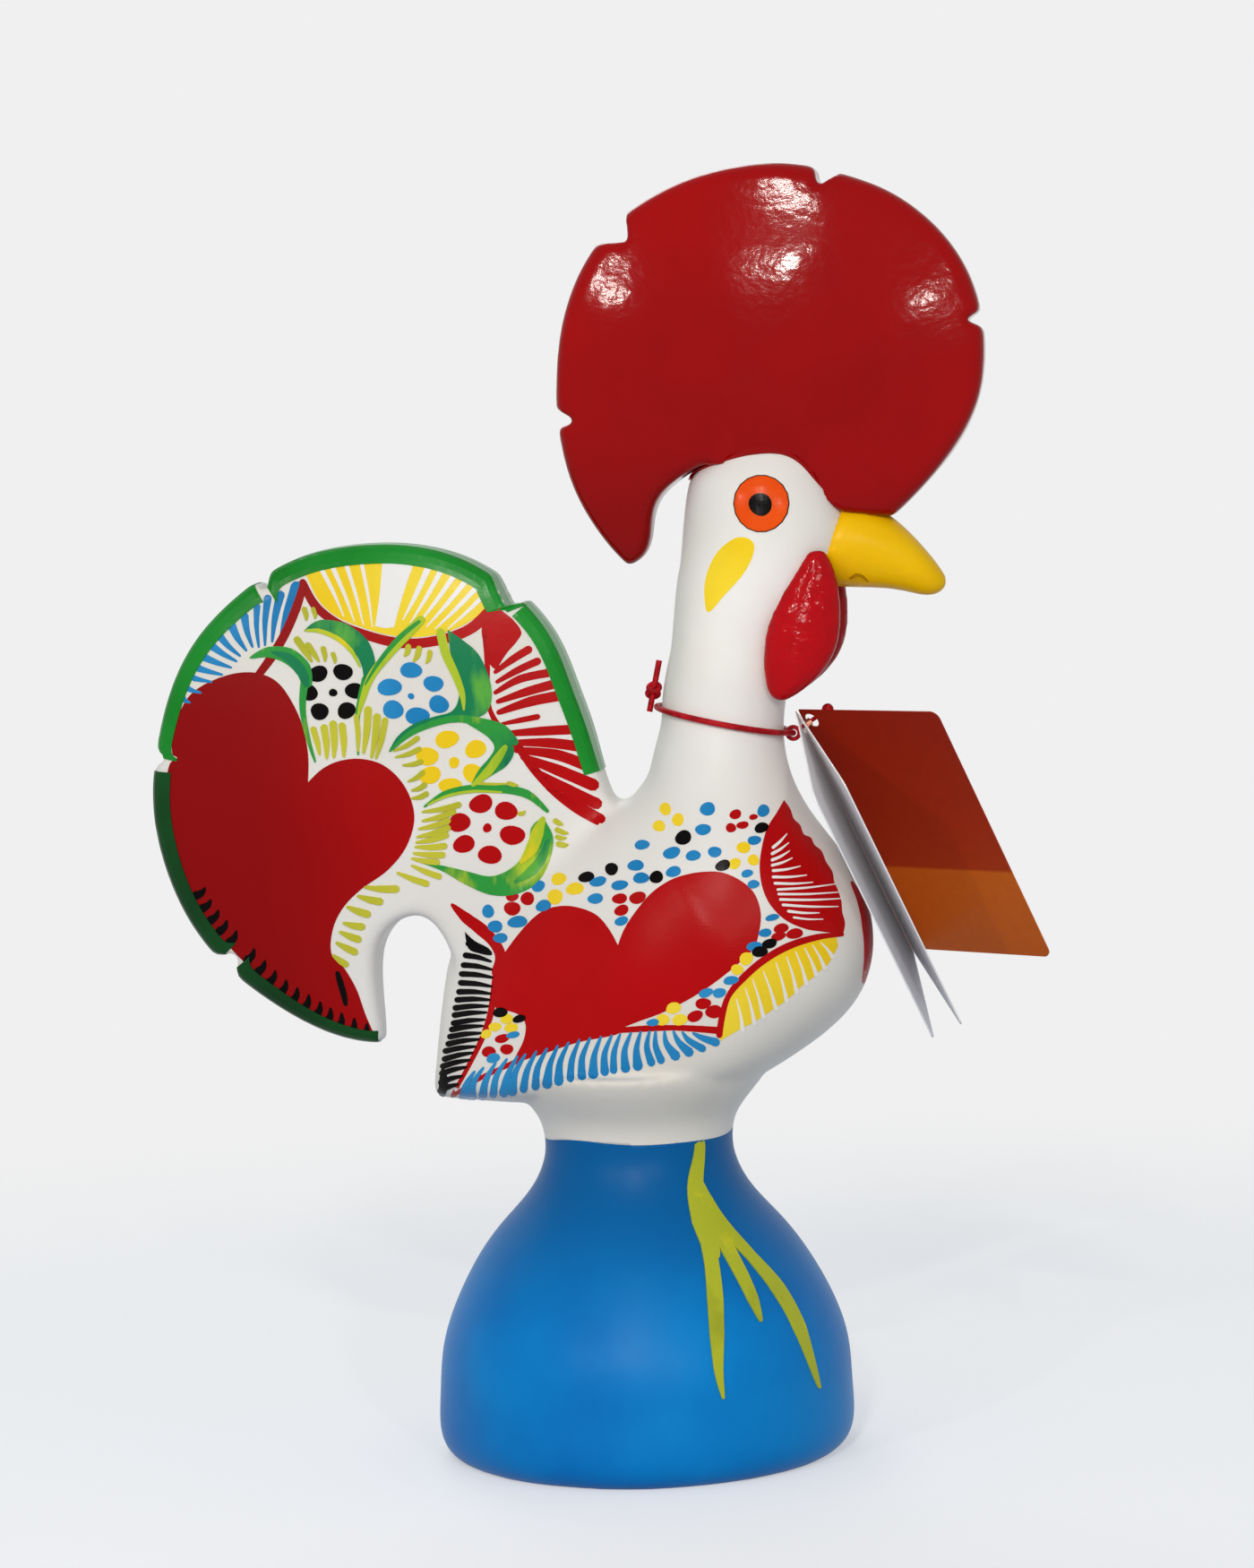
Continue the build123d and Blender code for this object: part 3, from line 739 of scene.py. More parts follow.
# Dots of the wing: centre and half-sizes
DOT_LEAN = -0.25
DOTS = {
    "blue": [
        (790, 903, 9, 7), (852, 905, 7, 6.5), (785, 926, 9, 6), (717, 943, 8, 5.5), (842, 938, 7.5, 5),
        (750, 952, 9.5, 6.5), (774, 955, 8, 6), (798, 951, 7.5, 6), (710, 966, 9, 6), (668, 984, 9, 5.5),
        (692, 988, 9, 5.5), (716, 980, 9, 6), (752, 973, 9, 5.5), (834, 975, 7, 4), (841, 987, 7, 4.5),
        (665, 1003, 9, 5.5), (601, 989, 8, 6), (607, 1011, 9, 6), (545, 1017, 7, 7), (553, 1034, 8, 7),
        (578, 1029, 11, 6.5), (559, 1047, 8, 5.5), (694, 1028, 7.5, 5), (862, 1024, 7.5, 3.8),
        (854, 1041, 7.5, 4.5), (842, 1056, 9, 5), (816, 1094, 9, 4.5), (788, 1108, 8, 5), (803, 1108, 8, 5),
        (729, 1141, 7, 4), (573, 1155, 7, 3.8), (551, 1181, 8, 5),
    ],
    "yellow": [
        (743, 903, 6, 7.5), (757, 915, 6.5, 7), (736, 922, 6.5, 6.5), (830, 946, 7.5, 6.5),
        (841, 960, 6.5, 6), (820, 964, 7, 6), (624, 981, 8, 7), (642, 992, 9.5, 7), (620, 1001, 9, 8),
        (833, 1070, 8, 7), (823, 1082, 7, 6), (752, 1125, 9, 6), (740, 1138, 8, 6), (759, 1138, 9, 6),
        (566, 1137, 7, 6), (571, 1147, 8, 5), (553, 1146, 7, 5), (543, 1154, 6, 5),
    ],
    "black": [
        (763, 935, 9, 8), (850, 924, 7.5, 6), (683, 970, 7.5, 6.5), (655, 979, 8.5, 6), (733, 979, 8, 6.5),
        (807, 966, 8.5, 6), (859, 1053, 9, 5), (848, 1062, 9, 6), (559, 1130, 8, 5.5), (580, 1137, 7, 4.5),
    ],
    "red": [
        (712, 1002, 9, 7), (692, 1003, 8, 6), (694, 1016, 8, 6), (589, 1003, 8, 7), (572, 1014, 9, 8),
        (572, 1001, 7, 5), (872, 1036, 9, 5), (869, 1045, 8, 5), (887, 1042, 9, 6), (785, 1120, 9, 6),
        (797, 1129, 10, 7), (776, 1134, 9, 6), (561, 1159, 8, 5), (546, 1174, 8, 6), (566, 1171, 7, 6),
        (821, 909, 7, 5), (816, 924, 6, 5), (829, 921, 7, 4), (841, 912, 5, 3),
    ],
}
for colour, spots in DOTS.items():
    for x, y, wide, tall in spots:
        dot_films[colour].add(dot(x, y, wide, tall, lean=DOT_LEAN), 2, step=DOT_STEP)

# Tail: heart
TAIL_HEART = (
    [(344, 842), (337, 808), (324, 780), (308, 760), (286, 751), (260, 752), (232, 762), (212, 776),
     (200, 796)],
    [(195, 810), (192, 830), (193, 842), (198, 846), (190, 852), (186, 870), (186, 892), (190, 936),
     (204, 980), (225, 1016), (253, 1053), (293, 1093), (335, 1125), (376, 1146), (418, 1155)],
    [(408, 1132), (398, 1104), (384, 1080), (370, 1064), (372, 1036), (384, 1012), (404, 992), (432, 972),
     (452, 948), (462, 920), (460, 896), (448, 872), (428, 854), (404, 847), (380, 849), (360, 858),
     (344, 873)],
)
red_film.add(outline_of(*TAIL_HEART), 1)

# Blue fan at the tail's upper left: outer end, inner end and half-width
BLUE_FAN = [
    (331, 655, 313, 716, 6.5), (313, 664, 304, 716, 5), (299, 668, 296, 720, 4.4),
    (287, 677, 289, 722, 3.8), (273, 688, 282, 722, 4.6), (259, 699, 275, 726, 5),
    (247, 712, 268, 732, 4.2), (238, 722, 264, 738, 4.4), (229, 734, 258, 745, 4.4),
    (222, 746, 248, 753, 4), (217, 757, 236, 761, 3.4), (211, 769, 224, 773, 3.2),
    (205, 780, 212, 784, 3.4),
]
BLUE_FAN_BOW = (-1.5, 0)
BLUE_FAN_POINT = 1.2
for *ends, half in BLUE_FAN:
    blue_film.add(stroke(bowed(ends, BLUE_FAN_BOW), [half, half * 0.7, BLUE_FAN_POINT]), 1, step=FINE_STEP)

# Yellow fan at the top between red borders, with white streaks and one white gap
TAIL_BORDERS = [
    ([(339, 652), (331, 678), (318, 708), (302, 735), (288, 754)], [4, 5, 5, 5, 4]),
    ([(338, 650), (352, 676), (376, 695), (404, 707), (436, 716), (466, 718), (500, 712), (528, 700),
      (553, 676)], [4, 5, 4.5, 5, 5.5, 5.5, 5.5, 6, 7]),
]
YELLOW_TOP = (
    [(366, 634), (392, 629), (420, 627), (452, 628), (484, 633), (516, 644), (540, 658), (552, 670)],
    [(530, 690), (502, 704), (468, 711), (436, 709), (404, 700), (376, 688), (356, 670), (342, 642)],
)
TOP_GAP = (
    [(446, 628), (461, 632)],
    [(450, 664), (440, 700)],
    [(430, 701), (419, 699)],
    [(424, 664), (427, 628)],
)
TOP_STREAKS = [
    (360, 637, 384, 688, 2.6), (372, 634, 396, 694, 2.6), (387, 631, 406, 698, 2.4),
    (404, 629, 416, 700, 2.2), (478, 634, 450, 692, 3.6), (492, 638, 458, 696, 3), (506, 644, 466, 698, 3),
    (519, 650, 476, 700, 3), (531, 657, 486, 702, 3), (541, 664, 500, 702, 2.6),
]
add_strokes(red_film, TAIL_BORDERS, 2)
yellow_film.add(outline_of(*YELLOW_TOP), 1)
white_film.add(outline_of(*TOP_GAP), 2)
for *ends, half in TOP_STREAKS:
    white_film.add(stroke(bowed(ends, STREAK_BOW), [half, half * 0.75, STREAK_POINT]), 2, step=FINE_STEP)

# Red fan at the tail's right: root, spine and fingers, each with its bend and half-width
SIDE_ROOT = (
    [(562, 683), (573, 692), (582, 705), (577, 716), (565, 730), (554, 748)],
    [(546, 740), (541, 722), (538, 700), (550, 674)],
)
SIDE_SPINE = [
    ([(541, 704), (544, 740), (544, 770), (547, 792), (558, 812), (576, 830), (596, 858), (620, 884),
      (644, 904), (667, 919)], [3, 3, 2.6, 2.6, 3.4, 4.4, 5, 5, 4, 2]),
]
SIDE_FINGERS = [
    ([(553, 750), (572, 736), (590, 725)], 3.8), ([(555, 761), (578, 748), (600, 738)], 3.6),
    ([(553, 773), (580, 758), (612, 751)], 4), ([(556, 783), (588, 772), (620, 763)], 4.4),
    ([(557, 795), (592, 783), (627, 776)], 5), ([(560, 808), (580, 804), (600, 800)], 2.8),
    ([(563, 819), (604, 816), (640, 814)], 4.6), ([(572, 829), (612, 829), (646, 833)], 5),
    ([(576, 837), (620, 842), (654, 854)], 5.4), ([(584, 845), (624, 860), (662, 876)], 5.8),
    ([(596, 860), (632, 880), (666, 897)], 5.4), ([(612, 880), (644, 898), (671, 914)], 4.4),
]
FINGER_SHARES = (0.6, 1.1, 1.2)
red_film.add(outline_of(*SIDE_ROOT), 1)
add_strokes(red_film, SIDE_SPINE, 1)
for points, half in SIDE_FINGERS:
    red_film.add(stroke(points, [half * share for share in FINGER_SHARES]), 1, step=FINE_STEP)

# Flowers: colour, centre with its size, and petals
PETAL_LEAN = -0.1
FLOWERS = [
    ("black", 372, 773, 4.5, [
        (355, 752, 11, 9), (383, 750, 11, 9), (345, 773, 10, 9), (396, 771, 10.5, 9), (357, 794, 10.5, 9),
        (387, 793, 10.5, 9),
    ]),
    ("blue", 459, 777, 3.5, [
        (459, 748, 12, 9), (484, 763, 11, 9), (490, 786, 11, 10), (466, 799, 13, 10), (439, 792, 12, 10),
        (435, 767, 13, 10),
    ]),
    ("yellow", 507, 851, 6, [
        (499, 825, 13, 10), (531, 836, 12, 10), (477, 844, 13, 10), (480, 865, 12, 10), (503, 877, 13, 9),
        (528, 863, 11, 11),
    ]),
    ("red", 544, 924, 5, [
        (537, 897, 13, 10.5), (565, 905, 13, 10), (513, 918, 13, 10), (572, 932, 14, 11),
        (518, 942, 12, 10), (547, 954, 13, 10.5),
    ]),
]
for colour, x, y, size, petals in FLOWERS:
    dot_films[colour].add(dot(x, y, size, size), 2, step=FINE_STEP)
    for petal_x, petal_y, wide, tall in petals:
        petal = dot(petal_x, petal_y, wide, tall, lean=PETAL_LEAN)
        dot_films[colour].add(petal, 2, step=DOT_STEP)

# Paint of the leaves and legs
WASH_SCALE = 42
HAIR_SCALE = 170
HAIR_SHARE = 0.38


def leaf_paint(name, deep, middle, pale):
    """Wet-in-wet brush paint that runs from a deep through a middle to a pale colour."""
    material, tree, shader = new_material(name)
    slow = add_noise(tree, WASH_SCALE, detail=2)
    brushed = add_noise(tree, HAIR_SCALE, detail=4, stretch=(1, 1, 0.35), rough=0.6)
    blend = add_node(tree, "Mix")
    blend.inputs["Factor"].default_value = HAIR_SHARE
    tree.links.new(slow, blend.inputs["A"])
    tree.links.new(brushed, blend.inputs["B"])
    stops = [(0.34, deep), (0.46, middle), (0.55, middle), (0.64, pale)]
    colour = add_ramp(tree, blend.outputs["Result"], stops)
    tree.links.new(colour, shader.inputs["Base Color"])
    shader.inputs["Roughness"].default_value = 0.25
    shader.inputs["Specular IOR Level"].default_value = 0.15
    add_bumps(tree, shader, [(brushed, 0.04)])
    return material


leaf_film = Film("green_leaves", leaf_paint("leaf_green_paint", "006A4E", "2E9A3C", "B9CE32"), "white_clay")
teal_film = Film("teal_leaves", leaf_paint("leaf_teal_paint", "01564F", "0C7F4E", "5DB040"), "white_clay")
lime_film = Film("lime_leaves", leaf_paint("leaf_lime_paint", "6FAF2A", "B4C82C", "F0D21C"), "white_clay")
olive_film = Film("olive_strokes", painted("olive_paint", "B4B430", "CDC83A"), "yellow_clay")
rim_film = Film("green_rim", painted("rim_green_paint", "0B7A1C", "1F9230"), "white_clay")
# The lower rim bands take a darker copy of the green: painted shade
shaded_rim_film = Film("shaded_green_rim", painted("rim_shaded_green_paint", "0A3A17", "10521F"), "white_clay")

# Leaves round the flowers: blades as outlines, then brush strokes with their film and level
LEAF_BLADES = [
    (teal_film, (
        [(516, 714), (534, 730), (546, 756), (549, 778), (544, 794), (532, 801), (512, 806), (484, 808),
         (458, 818), (434, 839)],
        [(444, 822), (462, 808), (484, 800), (504, 794), (512, 780), (512, 758), (504, 734), (500, 703)],
    )),
    (leaf_film, (
        [(548, 812), (566, 822), (574, 838), (566, 854), (548, 866), (532, 876), (524, 880)],
        [(534, 860), (546, 846), (552, 834), (544, 822), (522, 808)],
    )),
    (leaf_film, (
        [(494, 972), (518, 986), (546, 998), (572, 999), (594, 990), (608, 974), (616, 952), (617, 932),
         (606, 912)],
        [(594, 922), (590, 940), (582, 958), (566, 972), (546, 978), (520, 972), (494, 966), (468, 962)],
    )),
]
BROAD_LEAVES = [
    (teal_film, 2, [(341, 704), (358, 698), (382, 704), (402, 720), (411, 740), (409, 762)],
     [1, 6, 9, 10, 8, 2]),
    (leaf_film, 2, [(280, 734), (300, 728), (322, 732), (338, 746), (343, 762)], [1, 6, 9, 9, 6]),
]
FINE_LEAVES = [
    (lime_film, 3, [(342, 704), (356, 704), (376, 712), (392, 726), (402, 744)], [1, 2.4, 2.6, 2.4, 1]),
    (leaf_film, 2, [(408, 758), (402, 782), (399, 806), (400, 842)], [4, 3, 2.4, 1]),
    (teal_film, 3, [(304, 728), (322, 734), (336, 748), (343, 764)], [1, 5, 6, 3]),
    (leaf_film, 2, [(341, 756), (338, 790), (344, 824), (352, 850)], [5, 3.4, 2.4, 1]),
    (lime_film, 3, [(470, 692), (452, 710), (432, 732), (414, 756), (404, 784), (400, 800)],
     [5, 6, 5, 4.4, 3, 1]),
    (leaf_film, 4, [(468, 694), (446, 712), (424, 738), (408, 764)], [2, 3, 2.4, 1]),
    (lime_film, 3, [(492, 706), (498, 730), (508, 752), (516, 774), (518, 792)], [5, 5, 4.4, 3.4, 1]),
    (leaf_film, 3, [(436, 838), (456, 820), (482, 808), (510, 802), (536, 806), (560, 814), (575, 828)],
     [1, 3, 3.6, 4, 5, 6, 4]),
    (lime_film, 3, [(528, 876), (544, 862), (556, 846), (564, 834)], [2, 5, 5, 3]),
    (leaf_film, 3, [(474, 900), (496, 886), (524, 880), (556, 880), (588, 886), (611, 905)],
     [1, 3, 4, 4.6, 4.6, 2]),
    (lime_film, 4, [(478, 898), (500, 888), (528, 883), (560, 884)], [0.8, 1.6, 1.6, 1]),
    (lime_film, 3, [(606, 914), (600, 930), (594, 946), (582, 962)], [3, 7, 7, 2]),
    (teal_film, 3, [(612, 938), (606, 956), (594, 972), (576, 984)], [2, 5, 6, 2]),
]
for film, blade in LEAF_BLADES:
    film.add(outline_of(*blade), 2)
for leaves, step in ((BROAD_LEAVES, FILM_STEP), (FINE_LEAVES, FINE_STEP)):
    for film, level, points, half_widths in leaves:
        film.add(stroke(points, half_widths), level, step=step)

# Olive strokes round the flowers and hearts: root, point and half-width
OLIVE_STROKES = [
    (350, 814, 357, 842, 3.4), (362, 812, 365, 846, 4), (372, 808, 373, 845, 4.2), (382, 810, 384, 844, 4),
    (398, 800, 400, 838, 3), (411, 792, 406, 840, 4.2), (421, 800, 415, 845, 4.2),
    (430, 804, 420, 846, 3.6), (340, 680, 342, 692, 3), (350, 680, 352, 690, 2.6), (332, 714, 348, 738, 4),
    (344, 720, 356, 738, 3.4), (361, 724, 363, 738, 3), (372, 730, 374, 740, 2.6),
    (456, 722, 452, 732, 3.4), (468, 724, 462, 738, 3.4), (480, 728, 476, 740, 3), (466, 824, 440, 838, 3),
    (468, 836, 442, 845, 3), (470, 850, 450, 854, 3), (472, 862, 456, 872, 3), (474, 876, 460, 882, 3.2),
    (476, 886, 460, 891, 3.2), (530, 874, 574, 874, 1.6), (512, 898, 472, 906, 3.4),
    (506, 906, 472, 916, 3.6), (500, 916, 468, 925, 3.6), (500, 924, 466, 934, 3.6),
    (498, 932, 465, 940, 3.6), (496, 944, 464, 945, 3.6), (494, 954, 462, 952, 3.6),
    (488, 962, 460, 958, 3.4), (490, 978, 460, 966, 3.4), (476, 986, 444, 974, 3.6),
    (442, 992, 408, 990, 4.2), (424, 1006, 400, 1000, 4.2), (410, 1020, 388, 1012, 4.2),
    (404, 1034, 384, 1030, 4), (400, 1048, 380, 1040, 4), (396, 1062, 376, 1052, 4),
    (386, 1076, 372, 1066, 3.6), (620, 916, 628, 920, 3), (622, 926, 634, 930, 3),
    (622, 934, 632, 935, 2.6), (624, 942, 634, 943, 3.4), (568, 874, 578, 876, 2.4),
    (580, 908, 586, 905, 2.4),
]
OLIVE_BOW = (1, 1)
OLIVE_SHARES = (1, 0.9, 0.35)
for *ends, half in OLIVE_STROKES:
    half_widths = [half * share for share in OLIVE_SHARES]
    olive_film.add(stroke(bowed(ends, OLIVE_BOW), half_widths), 2, step=FINE_STEP)

# Black teeth along the tail's lower rim. A tooth's points lie this far inward, less their lean.
TEETH = [(222, 998), (229, 1012), (238, 1025), (248, 1037), (259, 1049), (279, 1069), (291, 1082),
         (303, 1094), (316, 1105), (329, 1114), (342, 1122), (355, 1130), (367, 1137), (380, 1143),
         (394, 1149), (408, 1155)]
TOOTH_POINTS = [(-3, (0, 0)), (4, (0, 0)), (11, (3, 2))]
TOOTH_WIDTHS = [5, 3.6, 1.2]
HEART_DASH = [
    ([(377, 1086), (380, 1096), (384, 1110), (386, 1120)], [2.5, 3.4, 3.4, 2.4]),
]
for i, (x, y) in enumerate(TEETH):
    next_x, next_y = TEETH[min(i + 1, len(TEETH) - 1)]
    last_x, last_y = TEETH[max(i - 1, 0)]
    length = hypot(next_x - last_x, next_y - last_y)
    in_x = (next_y - last_y) / length
    in_y = (last_x - next_x) / length
    tooth = [(x + reach * in_x - lean_x, y + reach * in_y - lean_y)
             for reach, (lean_x, lean_y) in TOOTH_POINTS]
    black_film.add(stroke(tooth, TOOTH_WIDTHS), 3, step=FINE_STEP)
add_strokes(black_film, HEART_DASH, 3, FINE_STEP)

# Legs painted on the foot
LEG_STEM = [
    ([(782, 1263), (780, 1290), (776, 1325), (784, 1362), (796, 1400)], [4.5, 6, 9, 12, 8]),
]
TOES = [
    ([(786, 1370), (794, 1410), (798, 1450), (800, 1490), (802, 1530), (807, 1560)], [8, 8, 9, 8, 5, 1.5]),
    ([(796, 1366), (812, 1394), (828, 1424), (840, 1450), (849, 1474)], [6, 7.5, 7, 6, 1.6]),
    ([(779, 1318), (788, 1342), (808, 1370), (838, 1402), (868, 1438), (892, 1482), (914, 1548)],
     [4, 8, 7, 5.5, 7.5, 7, 1.5]),
]
leg_paint = leaf_paint("leg_paint", "9FA527", "B7BC2C", "E4D21E")
leg_film = Film("painted_legs", leg_paint, "yellow_clay", foot_tree)
add_strokes(leg_film, LEG_STEM, 1)
add_strokes(leg_film, TOES, 2)

# The comb's lip of clay along the head
COMB_LIP = (
    [(776, 528), (806, 516), (838, 508), (870, 507), (892, 517), (914, 541), (934, 561)],
    [(938, 536), (918, 514), (894, 494), (866, 482), (838, 483), (806, 490), (780, 504), (758, 540)],
)
LIP_LEVEL = 7
lip_film = Film("comb_lip", red, "red_clay")
lip_film.add(outline_of(*COMB_LIP), LIP_LEVEL)

# Mouth crease on the beak, drawn as a darker yellow line of painted shade
MOUTH_CREASE = [
    ([(949, 645), (956, 641), (963, 643), (969, 648)], [0.6, 1.3, 1.3, 0.5]),
]
crease_shade_paint = painted("crease_shade_paint", "A87400", "B88408")
crease_film = Film("mouth_crease", crease_shade_paint, "yellow_clay", tree_of(beak_skin))
add_strokes(crease_film, MOUTH_CREASE, 1, CREASE_STEP)

for film in (red_film, yellow_film, blue_film, black_film, white_film, orange_film, leaf_film, teal_film,
             lime_film, olive_film, leg_film, lip_film, crease_film):
    film.finish()

# Green rim of the tail: bands that wrap round the edge, from points in mm and two widths
GREEN_RIMS = [
    ([(-26.0, 198.6), (-29.1, 206.4), (-34.5, 210.1), (-40.8, 212.6), (-48.2, 214.3), (-55.6, 214.9),
      (-63.1, 214.7), (-70.6, 213.5), (-77.1, 211.7), (-82.0, 208.9), (-83.7, 207.9)], (4.4, 4.4)),
    ([(-6.0, 161.0), (-8.2, 170.1), (-12.1, 181.8), (-16.4, 192.4), (-22.1, 199.9)], (3.4, 3.8)),
    ([(-86.0, 206.5), (-93.7, 201.6), (-99.3, 195.6), (-104.3, 188.3), (-108.2, 178.9), (-111.2, 168.9),
      (-111.7, 166.8)], (4.8, 3.6)),
]
# Lower bands in the darker green, which is painted shade
SHADED_RIMS = [
    ([(-112.0, 163.3), (-112.6, 154.4), (-112.1, 146.9), (-110.2, 139.4), (-107.2, 131.9), (-103.2, 124.3),
      (-98.2, 118.2)], (4.6, 4.4)),
    ([(-93.8, 116.2), (-87.5, 109.0), (-81.2, 104.6), (-73.8, 100.7), (-66.3, 98.4), (-61.0, 97.9)],
     (4.4, 2.8)),
]
TAIL_MIDDLE = Vector((-60, 0, 155)) * MM
RIM_DEPTHS = (1.0, 0.72, 0.42, 0.2, 0.07)
RIM_LEVEL = 2
EDGE_START = 8 * MM
FACE_START = 100 * MM


def skin_hit(start, way):
    """The skin's place and its normal where a ray meets it."""
    return bird_tree.ray_cast(start, way)[:2]


def rim_row(edge, edge_normal, inward, width):
    """The skin across the rim, from its inner line on the near face round to the far face."""
    row = []
    for way, depths in ((1, RIM_DEPTHS), (-1, RIM_DEPTHS[::-1])):
        for depth in depths:
            spot = edge + inward * width * depth
            row.append(skin_hit(Vector((spot.x, -way * FACE_START, spot.z)), Vector((0, way, 0))))
        if way == 1:
            row.append((edge, edge_normal))
    return row


def rim_band(film, outline, widths):
    """A closed band of film round the tail's edge along an outline on the middle plane."""
    run = catmull([(x * MM, z * MM) for x, z in outline], steps=8)
    rows = []
    for i, (x, z) in enumerate(run):
        x0, z0 = run[max(i - 1, 0)]
        x1, z1 = run[min(i + 1, len(run) - 1)]
        inward = Vector((z1 - z0, 0, x0 - x1)).normalized()
        if inward.dot(TAIL_MIDDLE - Vector((x, 0, z))) < 0:
            inward = -inward
        edge, edge_normal = skin_hit(Vector((x, 0, z)) - inward * EDGE_START, inward)
        if edge is None:
            continue
        width = (widths[0] + (widths[1] - widths[0]) * i / (len(run) - 1)) * MM
        row = rim_row(edge, edge_normal, inward, width)
        if all(place is not None for place, _ in row):
            rows.append(row)
    across = len(rows[0])
    starts = [k for k in range(across * (len(rows) - 1)) if (k + 1) % across]
    quads = [(k, k + across, k + across + 1, k + 1) for k in starts]
    film.lay([hit for row in rows for hit in row], RIM_LEVEL, quads)


for film, bands in ((rim_film, GREEN_RIMS), (shaded_rim_film, SHADED_RIMS)):
    for outline, widths in bands:
        rim_band(film, outline, widths)
    film.finish()

# Cord, tie and tag keep their CAD solids
GRAIN_DEPTH = 0.02
TAG_HEIGHT = 72 * MM
BAND_START = 0.64
BAND_BLEND = 0.012
BROWN_RUN = 0.2
GRAIN_SHARE = 0.12

cord_red = painted("cord_red", "8A040E", "C01420", roughness=0.4, brush=0.05, lumps=0.02, mottle=600)
crimp_metal, crimp_tree, crimp_shader = new_material("crimp_metal")
crimp_shader.inputs["Base Color"].default_value = srgb("E8A487")
crimp_shader.inputs["Metallic"].default_value = 1.0
crimp_shader.inputs["Roughness"].default_value = 0.25
add_bumps(crimp_tree, crimp_shader, [(add_noise(crimp_tree, 900), GRAIN_DEPTH)])

tag_fold = next(j for j in frame["record"]["behaviour"]["joints"] if j["name"] == "front_leaf_fold")
spine_top = Vector(tag_fold["pos_m"])
spine_way = Vector(tag_fold["axis"]).normalized()


def along_spine(tree):
    """How far down the tag a place lies, from 0 at its top to about 1."""
    down = add_node(tree, "VectorMath", add_node(tree, "TexCoord").outputs["Object"])
    down.operation = "DOT_PRODUCT"
    down.inputs[1].default_value = spine_way
    start = spine_way.dot(spine_top)
    return add_range(tree, down.outputs["Value"], start, start + TAG_HEIGHT)


def printed_card(name, stops, roughness):
    """Card with bands of flat print across it, and a little paper grain."""
    material, tree, shader = new_material(name)
    colour = add_ramp(tree, along_spine(tree), stops)
    grain = add_noise(tree, 420, detail=5)
    mottled = add_node(tree, "Mix")
    mottled.data_type = "RGBA"
    mottled.blend_type = "OVERLAY"
    mottled.inputs["Factor"].default_value = GRAIN_SHARE
    tree.links.new(colour, mottled.inputs[MIX_FIRST])
    tree.links.new(grain, mottled.inputs[MIX_SECOND])
    tree.links.new(mottled.outputs[MIX_RESULT], shader.inputs["Base Color"])
    shader.inputs["Roughness"].default_value = roughness
    shader.inputs["Specular IOR Level"].default_value = 0.2
    add_bumps(tree, shader, [(grain, GRAIN_DEPTH)])
    return material


BROWN_STOPS = [
    (0.0, "961A00"), (BAND_START - BROWN_RUN, "A82A02"), (BAND_START, "AE3404"),
    (BAND_START + BAND_BLEND, "D0640E"), (1.0, "C85E0C"),
]
brown_card = printed_card("brown_card", BROWN_STOPS, 0.38)
white_card = printed_card("white_card", [(0.0, "F8F5F6"), (1.0, "ECEAEE")], 0.55)

FINISH = {
    "neck_cord": cord_red, "cord_knot": cord_red, "tag_tie": cord_red, "tie_crimp": crimp_metal,
    "tag_back_leaf": white_card, "tag_inner_leaf": white_card, "tag_front_leaf": brown_card,
}
for node, material in FINISH.items():
    thing = frame["nodes"][node]
    thing.data.materials.clear()
    thing.data.materials.append(material)
    shade_smooth(thing)

# Floor, backdrop and light. Sizes and places are in metres, power in watts, spread in degrees.
FLOOR_SIZE = 6.0
FLOOR_COLOUR = (0.56, 0.57, 0.59, 1)
FLOOR_GLOW = 0.42
FLOOR_FADE = (0.22, 0.55)
BACKDROP_COLOUR = (0.87, 0.87, 0.87, 1)
ROOM_COLOUR = (0.82, 0.91, 1.0, 1)
ROOM_STRENGTH = 0.42


def seen_mask(tree):
    """1 for rays from the camera, a mirror or glass, and 0 for the rest."""
    ray = add_node(tree, "LightPath")
    seen = ray.outputs["Is Camera Ray"]
    for kind in ("Is Glossy Ray", "Is Transmission Ray"):
        either = add_node(tree, "Math", seen, ray.outputs[kind])
        either.operation = "MAXIMUM"
        seen = either.outputs[0]
    return seen


def show_mix(tree, share, first, second):
    """The tree's output shows a mix of two shaders."""
    mix = add_node(tree, "MixShader", share, first, second)
    output = next(n for n in tree.nodes if n.type in ("OUTPUT_MATERIAL", "OUTPUT_WORLD"))
    tree.links.new(mix.outputs[0], output.inputs["Surface"])


floor_material, floor_tree, floor_shader = new_material("pale_floor")
floor_shader.inputs["Base Color"].default_value = FLOOR_COLOUR
floor_shader.inputs["Roughness"].default_value = 0.9
floor_shader.inputs["Emission Color"].default_value = (1, 1, 1, 1)
glow = add_node(floor_tree, "Math", seen_mask(floor_tree))
glow.operation = "MULTIPLY"
glow.inputs[1].default_value = FLOOR_GLOW
floor_tree.links.new(glow.outputs[0], floor_shader.inputs["Emission Strength"])
floor_place = add_node(floor_tree, "TexCoord")
floor_reach = add_node(floor_tree, "VectorMath", floor_place.outputs["Object"])
floor_reach.operation = "LENGTH"
fade = add_range(floor_tree, floor_reach.outputs["Value"], *FLOOR_FADE, "SMOOTHSTEP")
clear = add_node(floor_tree, "BsdfTransparent")
show_mix(floor_tree, fade, floor_shader.outputs[0], clear.outputs[0])
corners = [(-FLOOR_SIZE, -FLOOR_SIZE, 0), (FLOOR_SIZE, -FLOOR_SIZE, 0), (FLOOR_SIZE, FLOOR_SIZE, 0),
           (-FLOOR_SIZE, FLOOR_SIZE, 0)]
floor = mesh_object("floor", corners, [(0, 1, 2, 3)], floor_material)

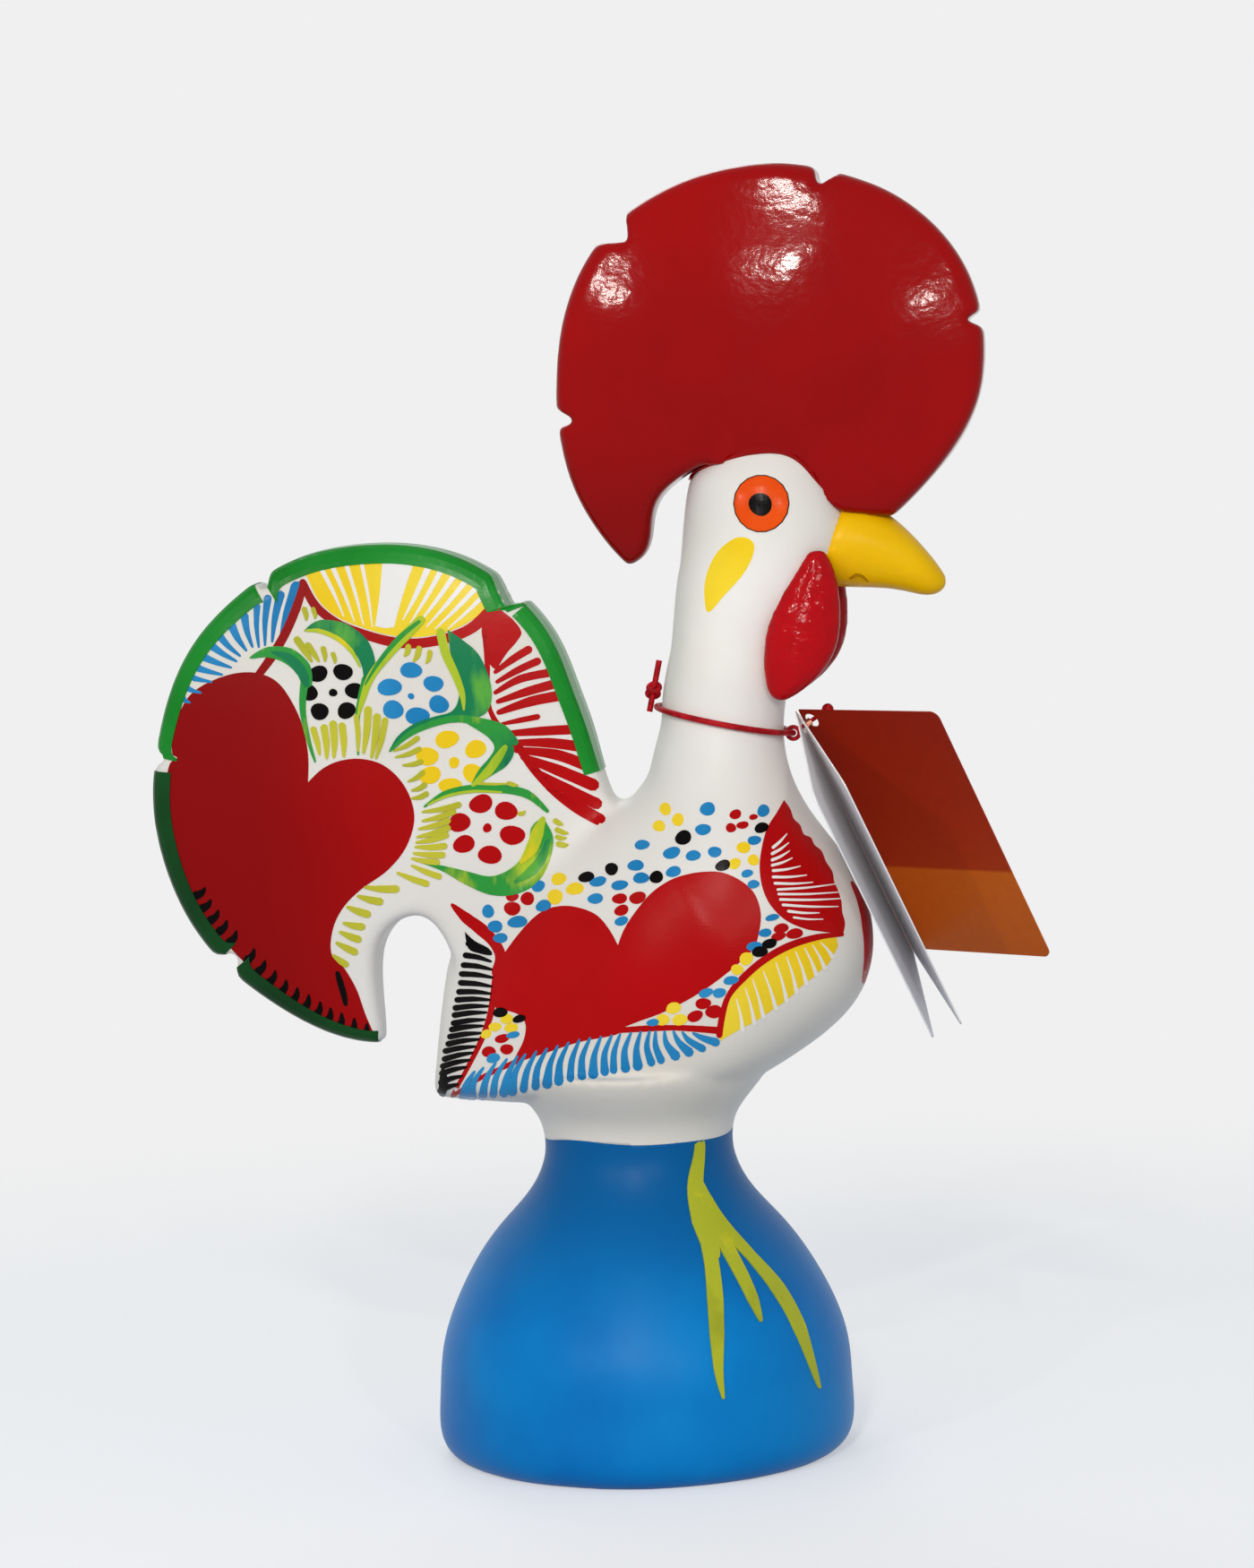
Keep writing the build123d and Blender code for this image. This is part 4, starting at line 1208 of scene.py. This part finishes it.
world = bpy.data.worlds.new("studio")
world.use_nodes = True
bpy.context.scene.world = world
sky = world.node_tree
backdrop = next(n for n in sky.nodes if n.type == "BACKGROUND")
backdrop.inputs["Color"].default_value = BACKDROP_COLOUR
backdrop.inputs["Strength"].default_value = 1.0
room = add_node(sky, "Background")
room.inputs["Color"].default_value = ROOM_COLOUR
room.inputs["Strength"].default_value = ROOM_STRENGTH
show_mix(sky, seen_mask(sky), room.outputs[0], backdrop.outputs[0])

# Each highlight lamp has the photo pixel of its highlight, its distance, size, power and spread
WARM_LIGHT = (1.0, 0.96, 0.9)
WHITE_LIGHT = (1, 1, 1)
WIDE = 180
COMB_LIGHTS = {
    "key_light": ((876, 292), 1.3, (0.08, 0.03), 3.8, WIDE),
    "left_light": ((676, 322), 1.3, (0.04, 0.07), 2.0, WIDE),
    "right_light": ((1036, 334), 1.3, (0.04, 0.07), 2.0, WIDE),
    "top_light": ((880, 216), 1.3, (0.10, 0.025), 2.6, WIDE),
}
WATTLE_LIGHTS = {"cheek_light": ((896, 686), 0.4, (0.045, 0.045), 0.0014, 10)}
NORMAL_SHIFTS = (-12, 0, 12)


def area_light(name, place, target, size, power, colour, spread):
    """A lamp that faces a target."""
    data = bpy.data.lights.new(name, "AREA")
    data.spread = radians(spread)
    data.color = colour
    data.shape = "RECTANGLE"
    data.size, data.size_y = size
    data.energy = power
    lamp = bpy.data.objects.new(name, data)
    lamp.location = place
    lamp.rotation_mode = "QUATERNION"
    lamp.rotation_quaternion = (target - place).to_track_quat("-Z", "Y")
    collection.objects.link(lamp)


def lamp_for_highlight(name, surface, pixel, distance, size, power, spread):
    """A lamp whose highlight shows at a photo pixel. The normal is the mean of those round it."""
    x, y = pixel
    near = [(x + across, y + down) for across in NORMAL_SHIFTS for down in NORMAL_SHIFTS]
    normals = [surface.ray_cast(CAMERA_PLACE, pixel_way(*spot))[1] for spot in near]
    normal = sum(normals, Vector()).normalized()
    way = pixel_way(x, y)
    place = surface.ray_cast(CAMERA_PLACE, way)[0]
    lamp_way = way - 2 * way.dot(normal) * normal
    area_light(name, place + lamp_way * distance, place, size, power, WARM_LIGHT, spread)


for skin, lamps in ((comb_skin, COMB_LIGHTS), (wattle_skins[0], WATTLE_LIGHTS)):
    skin_tree = tree_of(skin)
    for name, lamp in lamps.items():
        lamp_for_highlight(name, skin_tree, *lamp)
area_light("back_light", Vector((-0.5, 1.3, 1.2)), Vector((0, 0, 0.15)), (0.8, 0.8), 5, WHITE_LIGHT, WIDE)

bpy.context.scene.view_settings.view_transform = "Standard"
